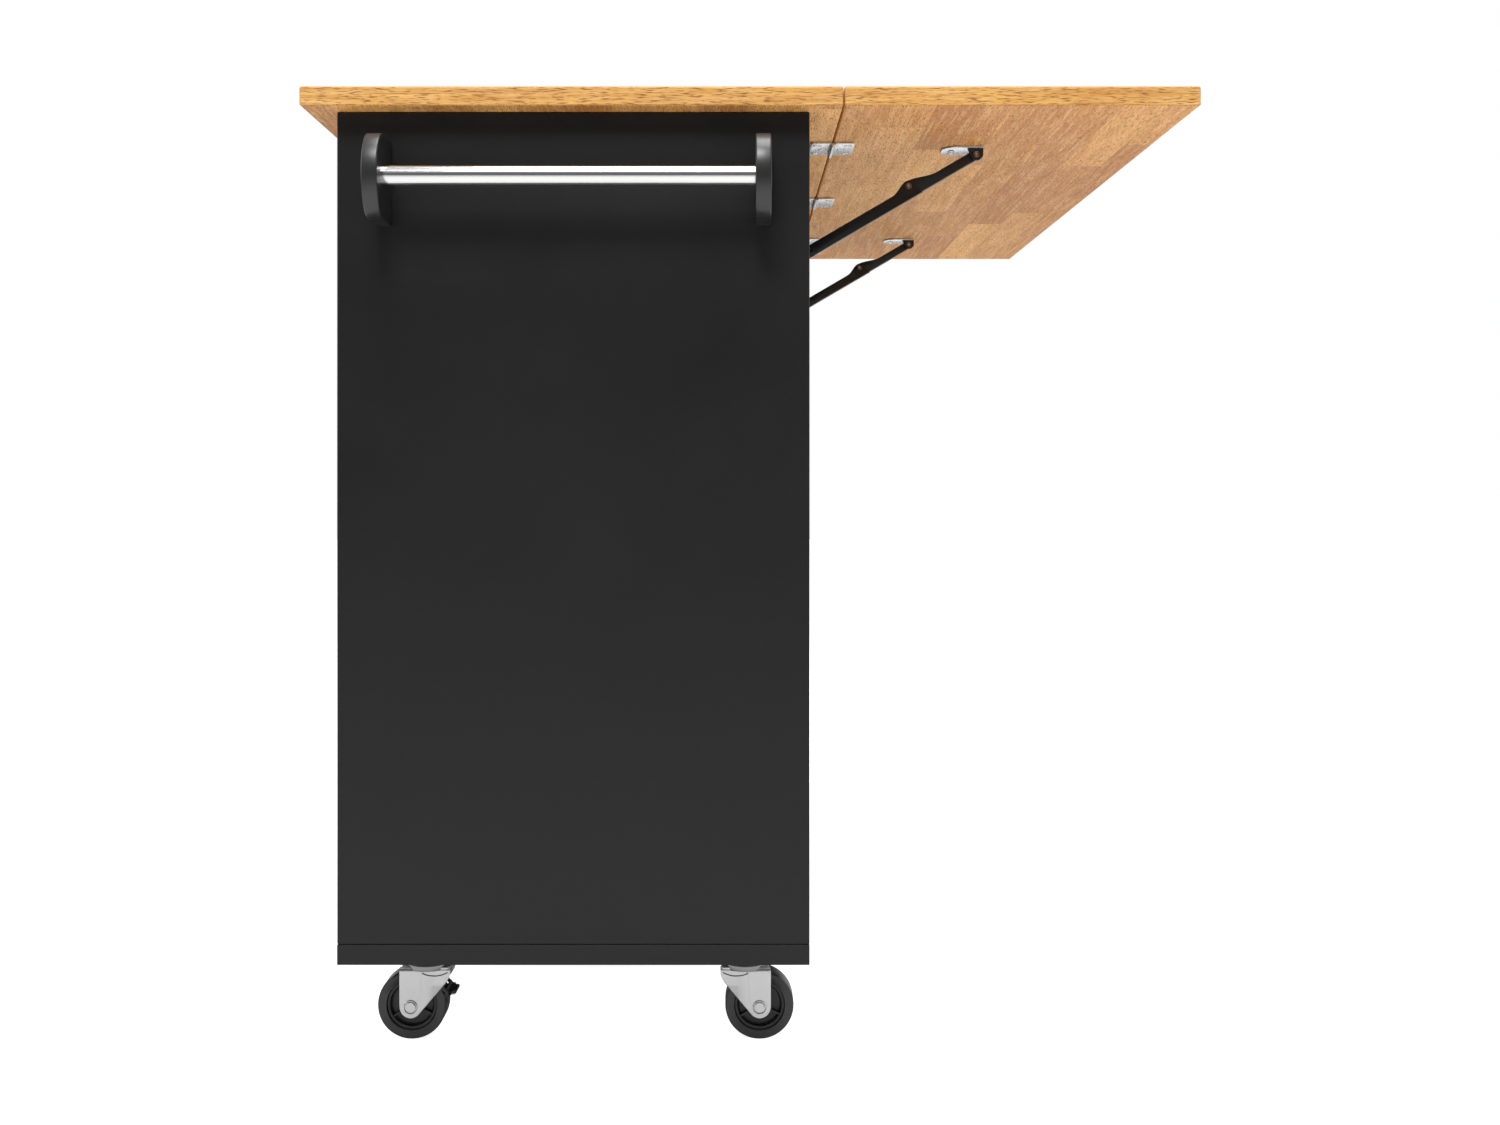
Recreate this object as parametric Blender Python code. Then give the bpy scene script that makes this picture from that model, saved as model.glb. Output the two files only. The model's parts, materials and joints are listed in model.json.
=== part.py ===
"""Rolling kitchen island cart with a wooden top and a drop leaf.

The cart's length runs along X, its doors and drawers face -Y, its drop leaf is on the +Y side and its
towel bar is on the +X end. Z is up from the floor. The model's origin is the centre of the bounding
box of the cart, on the floor, with the leaf raised.
"""

from math import atan2, cos, pi, radians, sin, sqrt

import bmesh
import bpy
from mathutils import Matrix, Vector

# Overall sizes, in metres.
TOP_LENGTH = 1.000
TOP_DEPTH = 0.501
LEAF_DEPTH = 0.328
SEAM_GAP = 0.001
HEIGHT = 0.901
TOP_THICK = 0.018
BOARD_THICK = 0.018
BASE_THICK = 0.019
BACK_THICK = 0.012
END_OVERHANG = 0.024
FRONT_OVERHANG = 0.029
CABINET_DEPTH = 0.442
CASTER_HEIGHT = 0.085

# Clearances between pieces.
TOUCH = 0.0003
REVEAL = 0.002
PIVOT_REVEAL = 0.003
RUNNING = 0.00006

# Cupboard, shelf and drawers.
TOP_RAIL_DEPTH = 0.080
DRAWER_OPENING = 0.1437
SHELF_RISE = 0.292
SHELF_SETBACK = 0.045
CLEAT = 0.018
DRAWER_WALL = 0.012
DRAWER_FLOOR = 0.006
DRAWER_WALL_HEIGHT = 0.108
DRAWER_SIDE_GAP = 0.010
DRAWER_BACK_GAP = 0.014
GRIP_RADIUS = 0.040
GRIP_RISE = 0.019
DOOR_PIN_RADIUS = 0.0025
DOOR_PIN_INSET = 0.006
DOOR_PIN_DEPTH = 0.012

# Butt hinges under the seam.
HINGE_STEP = 0.3165
HINGE_LENGTH = 0.057
HINGE_HALF_WIDTH = 0.0225
HINGE_PLATE = 0.002
HINGE_PIN_DROP = 0.003
KNUCKLE_RADIUS = 0.0026
HINGE_PIN_RADIUS = 0.0012

# Folding braces, measured from the seam and from the underside of the top.
BRACE_X = 0.320
BRACE_FAR_X = -0.299
ARM_THICK = 0.0025
EAR_PIVOT = (0.1495, -0.0075)
KNEE_PIVOT = (0.0796, -0.0402)
WALL_PIVOT = (-0.0217, -0.1076)
UPPER_ARM_HALF = 0.0052
LOWER_ARM_HALF = 0.0061
KNEE_RADIUS = 0.0068
PIVOT_RADIUS = 0.0023
PIVOT_HEAD = 0.0040
HEAD_THICK = 0.0012
LEAF_PLATE_X = (-0.036, 0.006)
LEAF_PLATE_Y = (0.119, 0.159)
LEAF_PLATE_THICK = 0.0015
WALL_PLATE = (0.026, 0.046)

# Towel bar.
BRACKET_THICK = 0.0146
BRACKET_INSET = 0.037
BRACKET_HEIGHT = 0.078
BRACKET_FLAT = 0.038
BRACKET_REACH = 0.066
BRACKET_DROP = 0.068
BAR_RADIUS = 0.0095
BAR_STANDOFF = 0.042
BAR_SOCKET = 0.008

# Casters. The fork's own direction s points away from the wheel's trailing side.
WHEEL_RADIUS = 0.033
WHEEL_HALF = 0.0135
WHEEL_SIDES = 24
AXLE_RADIUS = 0.004
AXLE_HEAD = 0.0066
AXLE_TRAIL = 0.014
CASTER_END_INSET = 0.059
CASTER_FRONT_INSET = 0.075
CASTER_BACK_INSET = 0.060
RACEWAY_RADIUS = 0.023
RACEWAY_Z = (0.067, 0.0767)
CUP_RADIUS = 0.020
CASTER_PLATE = (0.060, 0.074, 0.0025)
KINGPIN_RADIUS = 0.005
KINGPIN_HEAD = (0.007, 0.0652, 0.0667)
FORK_INNER = 0.0170
FORK_PLATE = 0.0025
FORK_LEG_HALF = 0.0108
FORK_GUSSET = ((0.0196, 0.0555), (0.0235, 0.0635))
FORK_TANGENT = radians(-40)
PEDAL_PIVOT = (0.006, 0.0600)
PEDAL_PIN_RADIUS = 0.0022
PEDAL_ARM = (0.0143, 0.0164)
PEDAL_PAD = ((0.0211, 0.0425), (0.0285, 0.0465))
PEDAL_PAD_HALF = 0.0103
PEDAL_BAR_END = 0.0241

# Levels and planes worked out from the sizes above.
UNDERSIDE = HEIGHT - TOP_THICK
TOP_FRONT = -(TOP_DEPTH + SEAM_GAP + LEAF_DEPTH) / 2
SEAM = TOP_FRONT + TOP_DEPTH + SEAM_GAP / 2
FRONT = TOP_FRONT + FRONT_OVERHANG
BACK = FRONT + CABINET_DEPTH
END = TOP_LENGTH / 2 - END_OVERHANG
INNER_END = END - BOARD_THICK
BASE_TOP = CASTER_HEIGHT + BASE_THICK
RAIL_BOTTOM = UNDERSIDE - TOUCH - BOARD_THICK
DECK_TOP = RAIL_BOTTOM - DRAWER_OPENING
DECK_Z = DECK_TOP - BOARD_THICK
SHELF_Z = BASE_TOP + SHELF_RISE
BRACKET_Z = UNDERSIDE - BRACKET_DROP
HINGE_AXIS_Z = UNDERSIDE - HINGE_PIN_DROP
CENTRE_SHIFT = (END + TOUCH + BRACKET_REACH - TOP_LENGTH / 2) / 2

PAINT = ("black_paint", (0.018, 0.018, 0.019), 0.38, 0.0)
WOOD = ("rubberwood", (0.62, 0.40, 0.20), 0.42, 0.0)
BIRCH = ("drawer_birch", (0.66, 0.52, 0.34), 0.55, 0.0)
STEEL = ("bright_steel", (0.75, 0.75, 0.74), 0.22, 1.0)
ZINC = ("zinc_plate", (0.62, 0.63, 0.65), 0.40, 1.0)
BLACK_METAL = ("black_metal", (0.02, 0.02, 0.02), 0.35, 0.6)
TYRE = ("wheel_rubber", (0.03, 0.03, 0.03), 0.45, 0.0)
PLASTIC = ("pedal_plastic", (0.02, 0.02, 0.02), 0.40, 0.0)


def clear_scene():
    for obj in list(bpy.data.objects):
        bpy.data.objects.remove(obj, do_unlink=True)


def material(look):
    name, colour, roughness, metallic = look
    made = bpy.data.materials.get(name)
    if made is None:
        made = bpy.data.materials.new(name)
        made.use_nodes = True
        shader = made.node_tree.nodes["Principled BSDF"]
        shader.inputs["Base Color"].default_value = (*colour, 1.0)
        shader.inputs["Roughness"].default_value = roughness
        shader.inputs["Metallic"].default_value = metallic
    return made


def add_object(name, bm, look, origin):
    """Stores bm, drawn in the cart's frame, as an object whose origin is the point given."""
    bmesh.ops.recalc_face_normals(bm, faces=bm.faces)
    bmesh.ops.translate(bm, verts=bm.verts, vec=-Vector(origin))
    mesh = bpy.data.meshes.new(name)
    bm.to_mesh(mesh)
    bm.free()
    obj = bpy.data.objects.new(name, mesh)
    obj.location = origin
    obj.parent = bpy.data.objects.get("cart")
    if look:
        mesh.materials.append(material(look))
    bpy.context.scene.collection.objects.link(obj)
    return obj


def as_cutter(obj):
    obj.hide_render = True
    obj.display_type = "WIRE"
    return obj


def combine(obj, operation, *others):
    """Joins or cuts obj with helper solids that stay in the file as hidden wires."""
    for other in others:
        as_cutter(other)
        modifier = obj.modifiers.new(f"{operation.title()} {other.name}", "BOOLEAN")
        modifier.object = other
        modifier.operation = operation
        modifier.solver = "EXACT"


def soften(obj, width, segments=2):
    bevel = obj.modifiers.new("Eased edges", "BEVEL")
    bevel.width = width
    bevel.segments = segments
    bevel.limit_method = "ANGLE"
    bevel.angle_limit = radians(50)


def smooth_rounds(obj):
    obj.data.shade_smooth()
    obj.data.set_sharp_from_angle(angle=radians(35))


def block(name, low, high, look=None, origin=(0, 0, 0)):
    bm = bmesh.new()
    middle = [(a + b) / 2 for a, b in zip(low, high)]
    size = [b - a for a, b in zip(low, high)]
    bmesh.ops.create_cube(bm, size=1, matrix=Matrix.Translation(middle) @ Matrix.Diagonal((*size, 1)))
    return add_object(name, bm, look, origin)


def prism(name, outline, low, high, look=None, origin=(0, 0, 0), along="X"):
    """Extrudes an outline from low to high. It is drawn in (y, z) along X, or in (x, z) along Y."""
    bm = bmesh.new()
    rings = []
    for level in (low, high):
        if along == "X":
            rings.append([bm.verts.new((level, a, b)) for a, b in outline])
        else:
            rings.append([bm.verts.new((a, level, b)) for a, b in outline])
    bm.faces.new(rings[0])
    bm.faces.new(rings[1])
    count = len(outline)
    for i in range(count):
        j = (i + 1) % count
        bm.faces.new((rings[0][i], rings[0][j], rings[1][j], rings[1][i]))
    return add_object(name, bm, look, origin)


def turned(name, profile, centre, axis, look=None, origin=(0, 0, 0), sides=WHEEL_SIDES):
    """Turns a closed profile of (radius, height) points about an axis through centre."""
    bm = bmesh.new()
    rings = []
    for radius, height in profile:
        angles = [2 * pi * i / sides for i in range(sides)]
        rings.append([bm.verts.new((radius * cos(t), radius * sin(t), height)) for t in angles])
    count = len(rings)
    for k in range(count):
        lower, upper = rings[k], rings[(k + 1) % count]
        for i in range(sides):
            j = (i + 1) % sides
            bm.faces.new((lower[i], lower[j], upper[j], upper[i]))
    turn = Vector((0, 0, 1)).rotation_difference(Vector(axis)).to_matrix().to_4x4()
    bmesh.ops.transform(bm, verts=bm.verts, matrix=Matrix.Translation(centre) @ turn)
    obj = add_object(name, bm, look, origin)
    smooth_rounds(obj)
    return obj


def rod(name, radius, start, end, look=None, origin=(0, 0, 0), sides=16):
    bm = bmesh.new()
    start, end = Vector(start), Vector(end)
    turn = Vector((0, 0, 1)).rotation_difference(end - start).to_matrix().to_4x4()
    place = Matrix.Translation((start + end) / 2) @ turn
    bmesh.ops.create_cone(bm, cap_ends=True, segments=sides, radius1=radius, radius2=radius,
                          depth=(end - start).length, matrix=place)
    obj = add_object(name, bm, look, origin)
    smooth_rounds(obj)
    return obj


def bore(name, radius, start, end, sides=16):
    """A cutter whose flats clear a turning pin of that radius, so that their facets never meet."""
    return rod(name, (radius + RUNNING) / cos(pi / sides), start, end, sides=sides)


def capsule(a, b, radius_a, radius_b, steps=6):
    """Outline around two circles, the way a strap with rounded ends is cut."""
    ax, ay = a
    bx, by = b
    length = sqrt((bx - ax) ** 2 + (by - ay) ** 2)
    heading = atan2(by - ay, bx - ax)
    lean = atan2(radius_a - radius_b, length)
    points = []
    for centre, radius, start, sweep in (
        (b, radius_b, heading - pi / 2 + lean, pi - 2 * lean),
        (a, radius_a, heading + pi / 2 - lean, pi + 2 * lean),
    ):
        for i in range(steps + 1):
            t = start + sweep * i / steps
            points.append((centre[0] + radius * cos(t), centre[1] + radius * sin(t)))
    return points


def tops():
    """The fixed top and the drop leaf, both butcher block."""
    half = TOP_LENGTH / 2
    edge = SEAM - SEAM_GAP / 2
    board = block("top_board", (-half, TOP_FRONT, UNDERSIDE), (half, edge, HEIGHT), WOOD)
    soften(board, 0.0015)
    axis = (0, SEAM, HINGE_AXIS_Z)
    leaf = block("leaf_board", (-half, edge + SEAM_GAP, UNDERSIDE),
                 (half, edge + SEAM_GAP + LEAF_DEPTH, HEIGHT), WOOD, axis)
    soften(leaf, 0.0015)


def butt_hinges():
    """Three hinges under the seam: a plate on the top, a plate on the leaf, and a pin."""
    fifth = HINGE_LENGTH / 5
    top = UNDERSIDE - TOUCH
    knuckle_reach = KNUCKLE_RADIUS + TOUCH
    for number, x in enumerate((HINGE_STEP, 0, -HINGE_STEP), 1):
        axis = (x, SEAM, HINGE_AXIS_Z)
        start = x - HINGE_LENGTH / 2
        for side, name, slots in ((-1, "fixed", (0, 2, 4)), (1, "leaf", (1, 3))):
            ys = sorted((SEAM + side * knuckle_reach, SEAM + side * HINGE_HALF_WIDTH))
            plate = block(f"hinge_{name}_{number}", (start, ys[0], top - HINGE_PLATE),
                          (start + HINGE_LENGTH, ys[1], top), STEEL, axis)
            for slot in slots:
                low = start + slot * fifth + TOUCH / 2
                high = start + (slot + 1) * fifth - TOUCH / 2
                barrel = rod(f"cut_knuckle_{name}_{number}_{slot}", KNUCKLE_RADIUS,
                             (low, SEAM, HINGE_AXIS_Z), (high, SEAM, HINGE_AXIS_Z), sides=12)
                tongue_ys = sorted((SEAM, SEAM + side * (knuckle_reach + 0.001)))
                tongue = block(f"cut_tongue_{name}_{number}_{slot}",
                               (low, tongue_ys[0], HINGE_AXIS_Z + 0.0011),
                               (high, tongue_ys[1], top - 0.0002))
                combine(plate, "UNION", barrel, tongue)
            pin_hole = bore(f"cut_bore_{name}_{number}", HINGE_PIN_RADIUS,
                            (start - 0.001, SEAM, HINGE_AXIS_Z),
                            (start + HINGE_LENGTH + 0.001, SEAM, HINGE_AXIS_Z), sides=12)
            combine(plate, "DIFFERENCE", pin_hole)
        rod(f"hinge_pin_{number}", HINGE_PIN_RADIUS, (start - 0.0005, SEAM, HINGE_AXIS_Z),
            (start + HINGE_LENGTH + 0.0005, SEAM, HINGE_AXIS_Z), STEEL, axis, sides=12)


def carcass():
    """The painted boards: ends, back, base, drawer deck and divider, top rail, shelf and its cleats."""
    roof = UNDERSIDE - TOUCH
    floor = BASE_TOP + TOUCH
    inner = INNER_END - TOUCH
    inside_back = BACK - BACK_THICK - TOUCH
    for name, side in (("towel_end_panel", 1), ("plain_end_panel", -1)):
        xs = sorted((side * INNER_END, side * END))
        soften(block(name, (xs[0], FRONT, floor), (xs[1], BACK, roof), PAINT), 0.001)
    base = block("bottom_board", (-END, FRONT, CASTER_HEIGHT), (END, BACK, BASE_TOP), PAINT)
    block("back_panel", (-inner, BACK - BACK_THICK, floor), (inner, BACK, roof), PAINT)
    deck = block("drawer_deck", (-inner, FRONT, DECK_Z), (inner, inside_back, DECK_TOP), PAINT)
    block("top_rail", (-inner, FRONT, RAIL_BOTTOM), (inner, FRONT + TOP_RAIL_DEPTH, roof), PAINT)
    half = BOARD_THICK / 2
    block("drawer_divider", (-half, FRONT, DECK_TOP + TOUCH),
          (half, inside_back, RAIL_BOTTOM - TOUCH), PAINT)
    block("shelf", (-inner + TOUCH, FRONT + SHELF_SETBACK, SHELF_Z),
          (inner - TOUCH, inside_back - TOUCH, SHELF_Z + BOARD_THICK), PAINT)
    for name, side in (("shelf_cleat_towel_end", 1), ("shelf_cleat_plain_end", -1)):
        xs = sorted((side * inner, side * (inner - CLEAT)))
        block(name, (xs[0], FRONT + SHELF_SETBACK + CLEAT, SHELF_Z - TOUCH - CLEAT),
              (xs[1], inside_back - CLEAT, SHELF_Z - TOUCH), PAINT)
    return base, deck


def grip(name, x, top):
    """A shallow round hand-hole cut into the upper edge of a door or a drawer front."""
    return rod(name, GRIP_RADIUS, (x, FRONT - 0.01, top + GRIP_RISE),
               (x, FRONT + BOARD_THICK + 0.01, top + GRIP_RISE), sides=48)


def doors(base, deck):
    """Two inset doors, each turning on a pin in the base and a pin in the deck."""
    low = BASE_TOP + REVEAL
    high = DECK_Z - REVEAL
    pin_y = FRONT + DOOR_PIN_INSET
    for name, side in (("door_towel_end", 1), ("door_plain_end", -1)):
        edge = INNER_END - PIVOT_REVEAL
        xs = sorted((side * REVEAL / 2, side * edge))
        pin_x = side * (edge - DOOR_PIN_INSET)
        door = block(name, (xs[0], FRONT, low), (xs[1], FRONT + BOARD_THICK, high), PAINT,
                     (pin_x, pin_y, (low + high) / 2))
        combine(door, "DIFFERENCE", grip(f"cut_grip_{name}", side * 0.070, high))
        for level, board, start, end in (
            ("lower", base, BASE_TOP - DOOR_PIN_DEPTH, low + DOOR_PIN_DEPTH),
            ("upper", deck, high - DOOR_PIN_DEPTH, DECK_Z + DOOR_PIN_DEPTH),
        ):
            pin_name = f"{name}_pin_{level}"
            rod(pin_name, DOOR_PIN_RADIUS, (pin_x, pin_y, start), (pin_x, pin_y, end), STEEL, sides=12)
            socket = rod(f"cut_{pin_name}", DOOR_PIN_RADIUS + TOUCH, (pin_x, pin_y, start - TOUCH),
                         (pin_x, pin_y, end + TOUCH), sides=12)
            combine(board, "DIFFERENCE", socket)
            pin_hole = bore(f"cut_bore_{pin_name}", DOOR_PIN_RADIUS, (pin_x, pin_y, start - TOUCH),
                            (pin_x, pin_y, end + TOUCH), sides=12)
            combine(door, "DIFFERENCE", pin_hole)


def drawers():
    """Two drawers side by side: a painted front with a birch box behind it, sliding on the deck."""
    bay_inner = BOARD_THICK / 2 + TOUCH
    bay_outer = INNER_END - TOUCH
    low = DECK_TOP + REVEAL
    high = RAIL_BOTTOM - REVEAL
    box_front = FRONT + BOARD_THICK + TOUCH
    box_back = BACK - BACK_THICK - DRAWER_BACK_GAP
    box_floor = DECK_TOP + 3 * TOUCH
    for name, side in (("towel_end", 1), ("plain_end", -1)):
        middle = side * (bay_inner + bay_outer) / 2
        origin = (middle, FRONT, (low + high) / 2)
        half = (bay_outer - bay_inner) / 2 - REVEAL
        front = block(f"drawer_front_{name}", (middle - half, FRONT, low),
                      (middle + half, FRONT + BOARD_THICK, high), PAINT, origin)
        combine(front, "DIFFERENCE", grip(f"cut_grip_drawer_{name}", middle, high))
        half -= DRAWER_SIDE_GAP
        box = block(f"drawer_box_{name}", (middle - half, box_front, box_floor),
                    (middle + half, box_back, box_floor + DRAWER_WALL_HEIGHT), BIRCH, origin)
        half -= DRAWER_WALL
        hollow = block(f"cut_drawer_{name}",
                       (middle - half, box_front + DRAWER_WALL, box_floor + DRAWER_FLOOR),
                       (middle + half, box_back - DRAWER_WALL, box_floor + DRAWER_WALL_HEIGHT + 0.05))
        combine(box, "DIFFERENCE", hollow)


def foot_of_knee():
    """The point on the straight line of the two arms that is nearest to the knee pivot."""
    start, end = Vector(WALL_PIVOT), Vector(EAR_PIVOT)
    direction = (end - start).normalized()
    return start + direction * (Vector(KNEE_PIVOT) - start).dot(direction)


def on_cart(point):
    """A brace point, measured from the seam and the underside, as (y, z) in the cart's frame."""
    return SEAM + point[0], UNDERSIDE + point[1]


def braces():
    """Two folding braces: an ear on the leaf, an upper arm, a lower arm and a bracket on the back."""
    ear_pivot, knee, wall = on_cart(EAR_PIVOT), on_cart(KNEE_PIVOT), on_cart(WALL_PIVOT)
    foot = on_cart(foot_of_knee())
    for name, front in (("towel_end", BRACE_X), ("plain_end", BRACE_FAR_X)):
        layer = (front - ARM_THICK, front)
        behind = (layer[0] - TOUCH - ARM_THICK, layer[0] - TOUCH)
        roof = UNDERSIDE - TOUCH
        leaf_axis = (front, SEAM, HINGE_AXIS_Z)
        plate = block(f"brace_ear_{name}",
                      (front + LEAF_PLATE_X[0], SEAM + LEAF_PLATE_Y[0], roof - LEAF_PLATE_THICK),
                      (front + LEAF_PLATE_X[1], SEAM + LEAF_PLATE_Y[1], roof), ZINC, leaf_axis)
        ear = prism(f"cut_ear_{name}",
                    capsule((ear_pivot[0], roof - 0.0062), ear_pivot, 0.0058, 0.0062), *layer)
        ear_rivet = rod(f"cut_ear_rivet_{name}", PIVOT_RADIUS, (behind[0] - HEAD_THICK, *ear_pivot),
                        (front + HEAD_THICK, *ear_pivot), sides=12)
        back_head = rod(f"cut_ear_back_head_{name}", PIVOT_HEAD,
                        (behind[0] - TOUCH - HEAD_THICK, *ear_pivot),
                        (behind[0] - TOUCH, *ear_pivot), sides=12)
        front_head = rod(f"cut_ear_front_head_{name}", PIVOT_HEAD, (front - 0.0005, *ear_pivot),
                         (front + HEAD_THICK, *ear_pivot), sides=12)
        combine(plate, "UNION", ear, ear_rivet, back_head, front_head)

        upper = prism(f"brace_upper_arm_{name}", capsule(ear_pivot, foot, UPPER_ARM_HALF, UPPER_ARM_HALF),
                      *behind, BLACK_METAL, (behind[0], *ear_pivot))
        upper_knee = prism(f"cut_upper_knee_{name}", capsule(foot, knee, KNEE_RADIUS, KNEE_RADIUS),
                           *behind)
        rear_head = rod(f"cut_knee_rear_head_{name}", PIVOT_HEAD, (behind[0] - HEAD_THICK, *knee),
                        (behind[0] + 0.0005, *knee), sides=12)
        combine(upper, "UNION", upper_knee, rear_head)
        ear_hole = bore(f"cut_ear_hole_{name}", PIVOT_RADIUS, (behind[0] - 0.01, *ear_pivot),
                        (behind[1] + 0.01, *ear_pivot), sides=12)
        combine(upper, "DIFFERENCE", ear_hole)

        lower = prism(f"brace_lower_arm_{name}", capsule(wall, foot, LOWER_ARM_HALF, LOWER_ARM_HALF),
                      *layer, BLACK_METAL, (front, *wall))
        lower_knee = prism(f"cut_lower_knee_{name}", capsule(foot, knee, KNEE_RADIUS, KNEE_RADIUS),
                           *layer)
        knee_head = rod(f"cut_knee_front_head_{name}", PIVOT_HEAD, (front - 0.0005, *knee),
                        (front + HEAD_THICK, *knee), sides=12)
        combine(lower, "UNION", lower_knee, knee_head)
        wall_hole = bore(f"cut_wall_hole_{name}", PIVOT_RADIUS, (layer[0] - 0.01, *wall),
                         (layer[1] + 0.01, *wall), sides=12)
        combine(lower, "DIFFERENCE", wall_hole)

        face = BACK + TOUCH
        half_x, half_z = WALL_PLATE[0] / 2, WALL_PLATE[1] / 2
        bracket = block(f"brace_wall_bracket_{name}",
                        (behind[0] - half_x, face, wall[1] - half_z),
                        (behind[0] + half_x, face + 0.0018, wall[1] + half_z), BLACK_METAL)
        lug = prism(f"cut_lug_{name}",
                    capsule((face + 0.0066, wall[1]), wall, 0.0066, 0.0062), *behind)
        wall_rivet = rod(f"cut_wall_rivet_{name}", PIVOT_RADIUS, (behind[0] + 0.0005, *wall),
                         (front + TOUCH + HEAD_THICK, *wall), sides=12)
        wall_head = rod(f"cut_wall_head_{name}", PIVOT_HEAD, (front + TOUCH, *wall),
                        (front + TOUCH + HEAD_THICK, *wall), sides=12)
        combine(bracket, "UNION", lug, wall_rivet, wall_head)


def towel_bar():
    """Two D-shaped brackets on the +X end, with a round steel bar in their sockets."""
    face = END + TOUCH
    nose = BRACKET_REACH - BRACKET_FLAT
    half = BRACKET_HEIGHT / 2
    outline = [(face, BRACKET_Z - half), (face + BRACKET_FLAT, BRACKET_Z - half)]
    for i in range(1, 14):
        t = -pi / 2 + pi * i / 14
        outline.append((face + BRACKET_FLAT + nose * cos(t), BRACKET_Z + half * sin(t)))
    outline += [(face + BRACKET_FLAT, BRACKET_Z + half), (face, BRACKET_Z + half)]
    bar_x = END + BAR_STANDOFF
    inner_faces = []
    for name, outer, side in (("front", FRONT + BRACKET_INSET, 1), ("back", BACK - BRACKET_INSET, -1)):
        ys = sorted((outer, outer + side * BRACKET_THICK))
        bracket = prism(f"towel_bracket_{name}", outline, *ys, BLACK_METAL, along="Y")
        soften(bracket, 0.001, 1)
        inner = outer + side * BRACKET_THICK
        socket = rod(f"cut_socket_{name}", BAR_RADIUS + TOUCH,
                     (bar_x, inner - side * (BAR_SOCKET + TOUCH), BRACKET_Z),
                     (bar_x, inner + side * 0.01, BRACKET_Z), sides=32)
        combine(bracket, "DIFFERENCE", socket)
        inner_faces.append(inner - side * BAR_SOCKET)
    rod("towel_bar", BAR_RADIUS, (bar_x, inner_faces[0], BRACKET_Z), (bar_x, inner_faces[1], BRACKET_Z),
        STEEL, sides=32)


def wheel_profile():
    """Half outline of a caster wheel: bore, hub, recessed web, tyre bead and rounded tread."""
    hole = (AXLE_RADIUS + RUNNING) / cos(pi / WHEEL_SIDES)
    side = [(hole, 0.0125), (0.0075, 0.0125), (0.0090, 0.0095), (0.0205, 0.0095), (0.0235, WHEEL_HALF),
            (0.0295, WHEEL_HALF), (WHEEL_RADIUS, 0.0090)]
    return side + [(radius, -height) for radius, height in reversed(side)]


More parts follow.
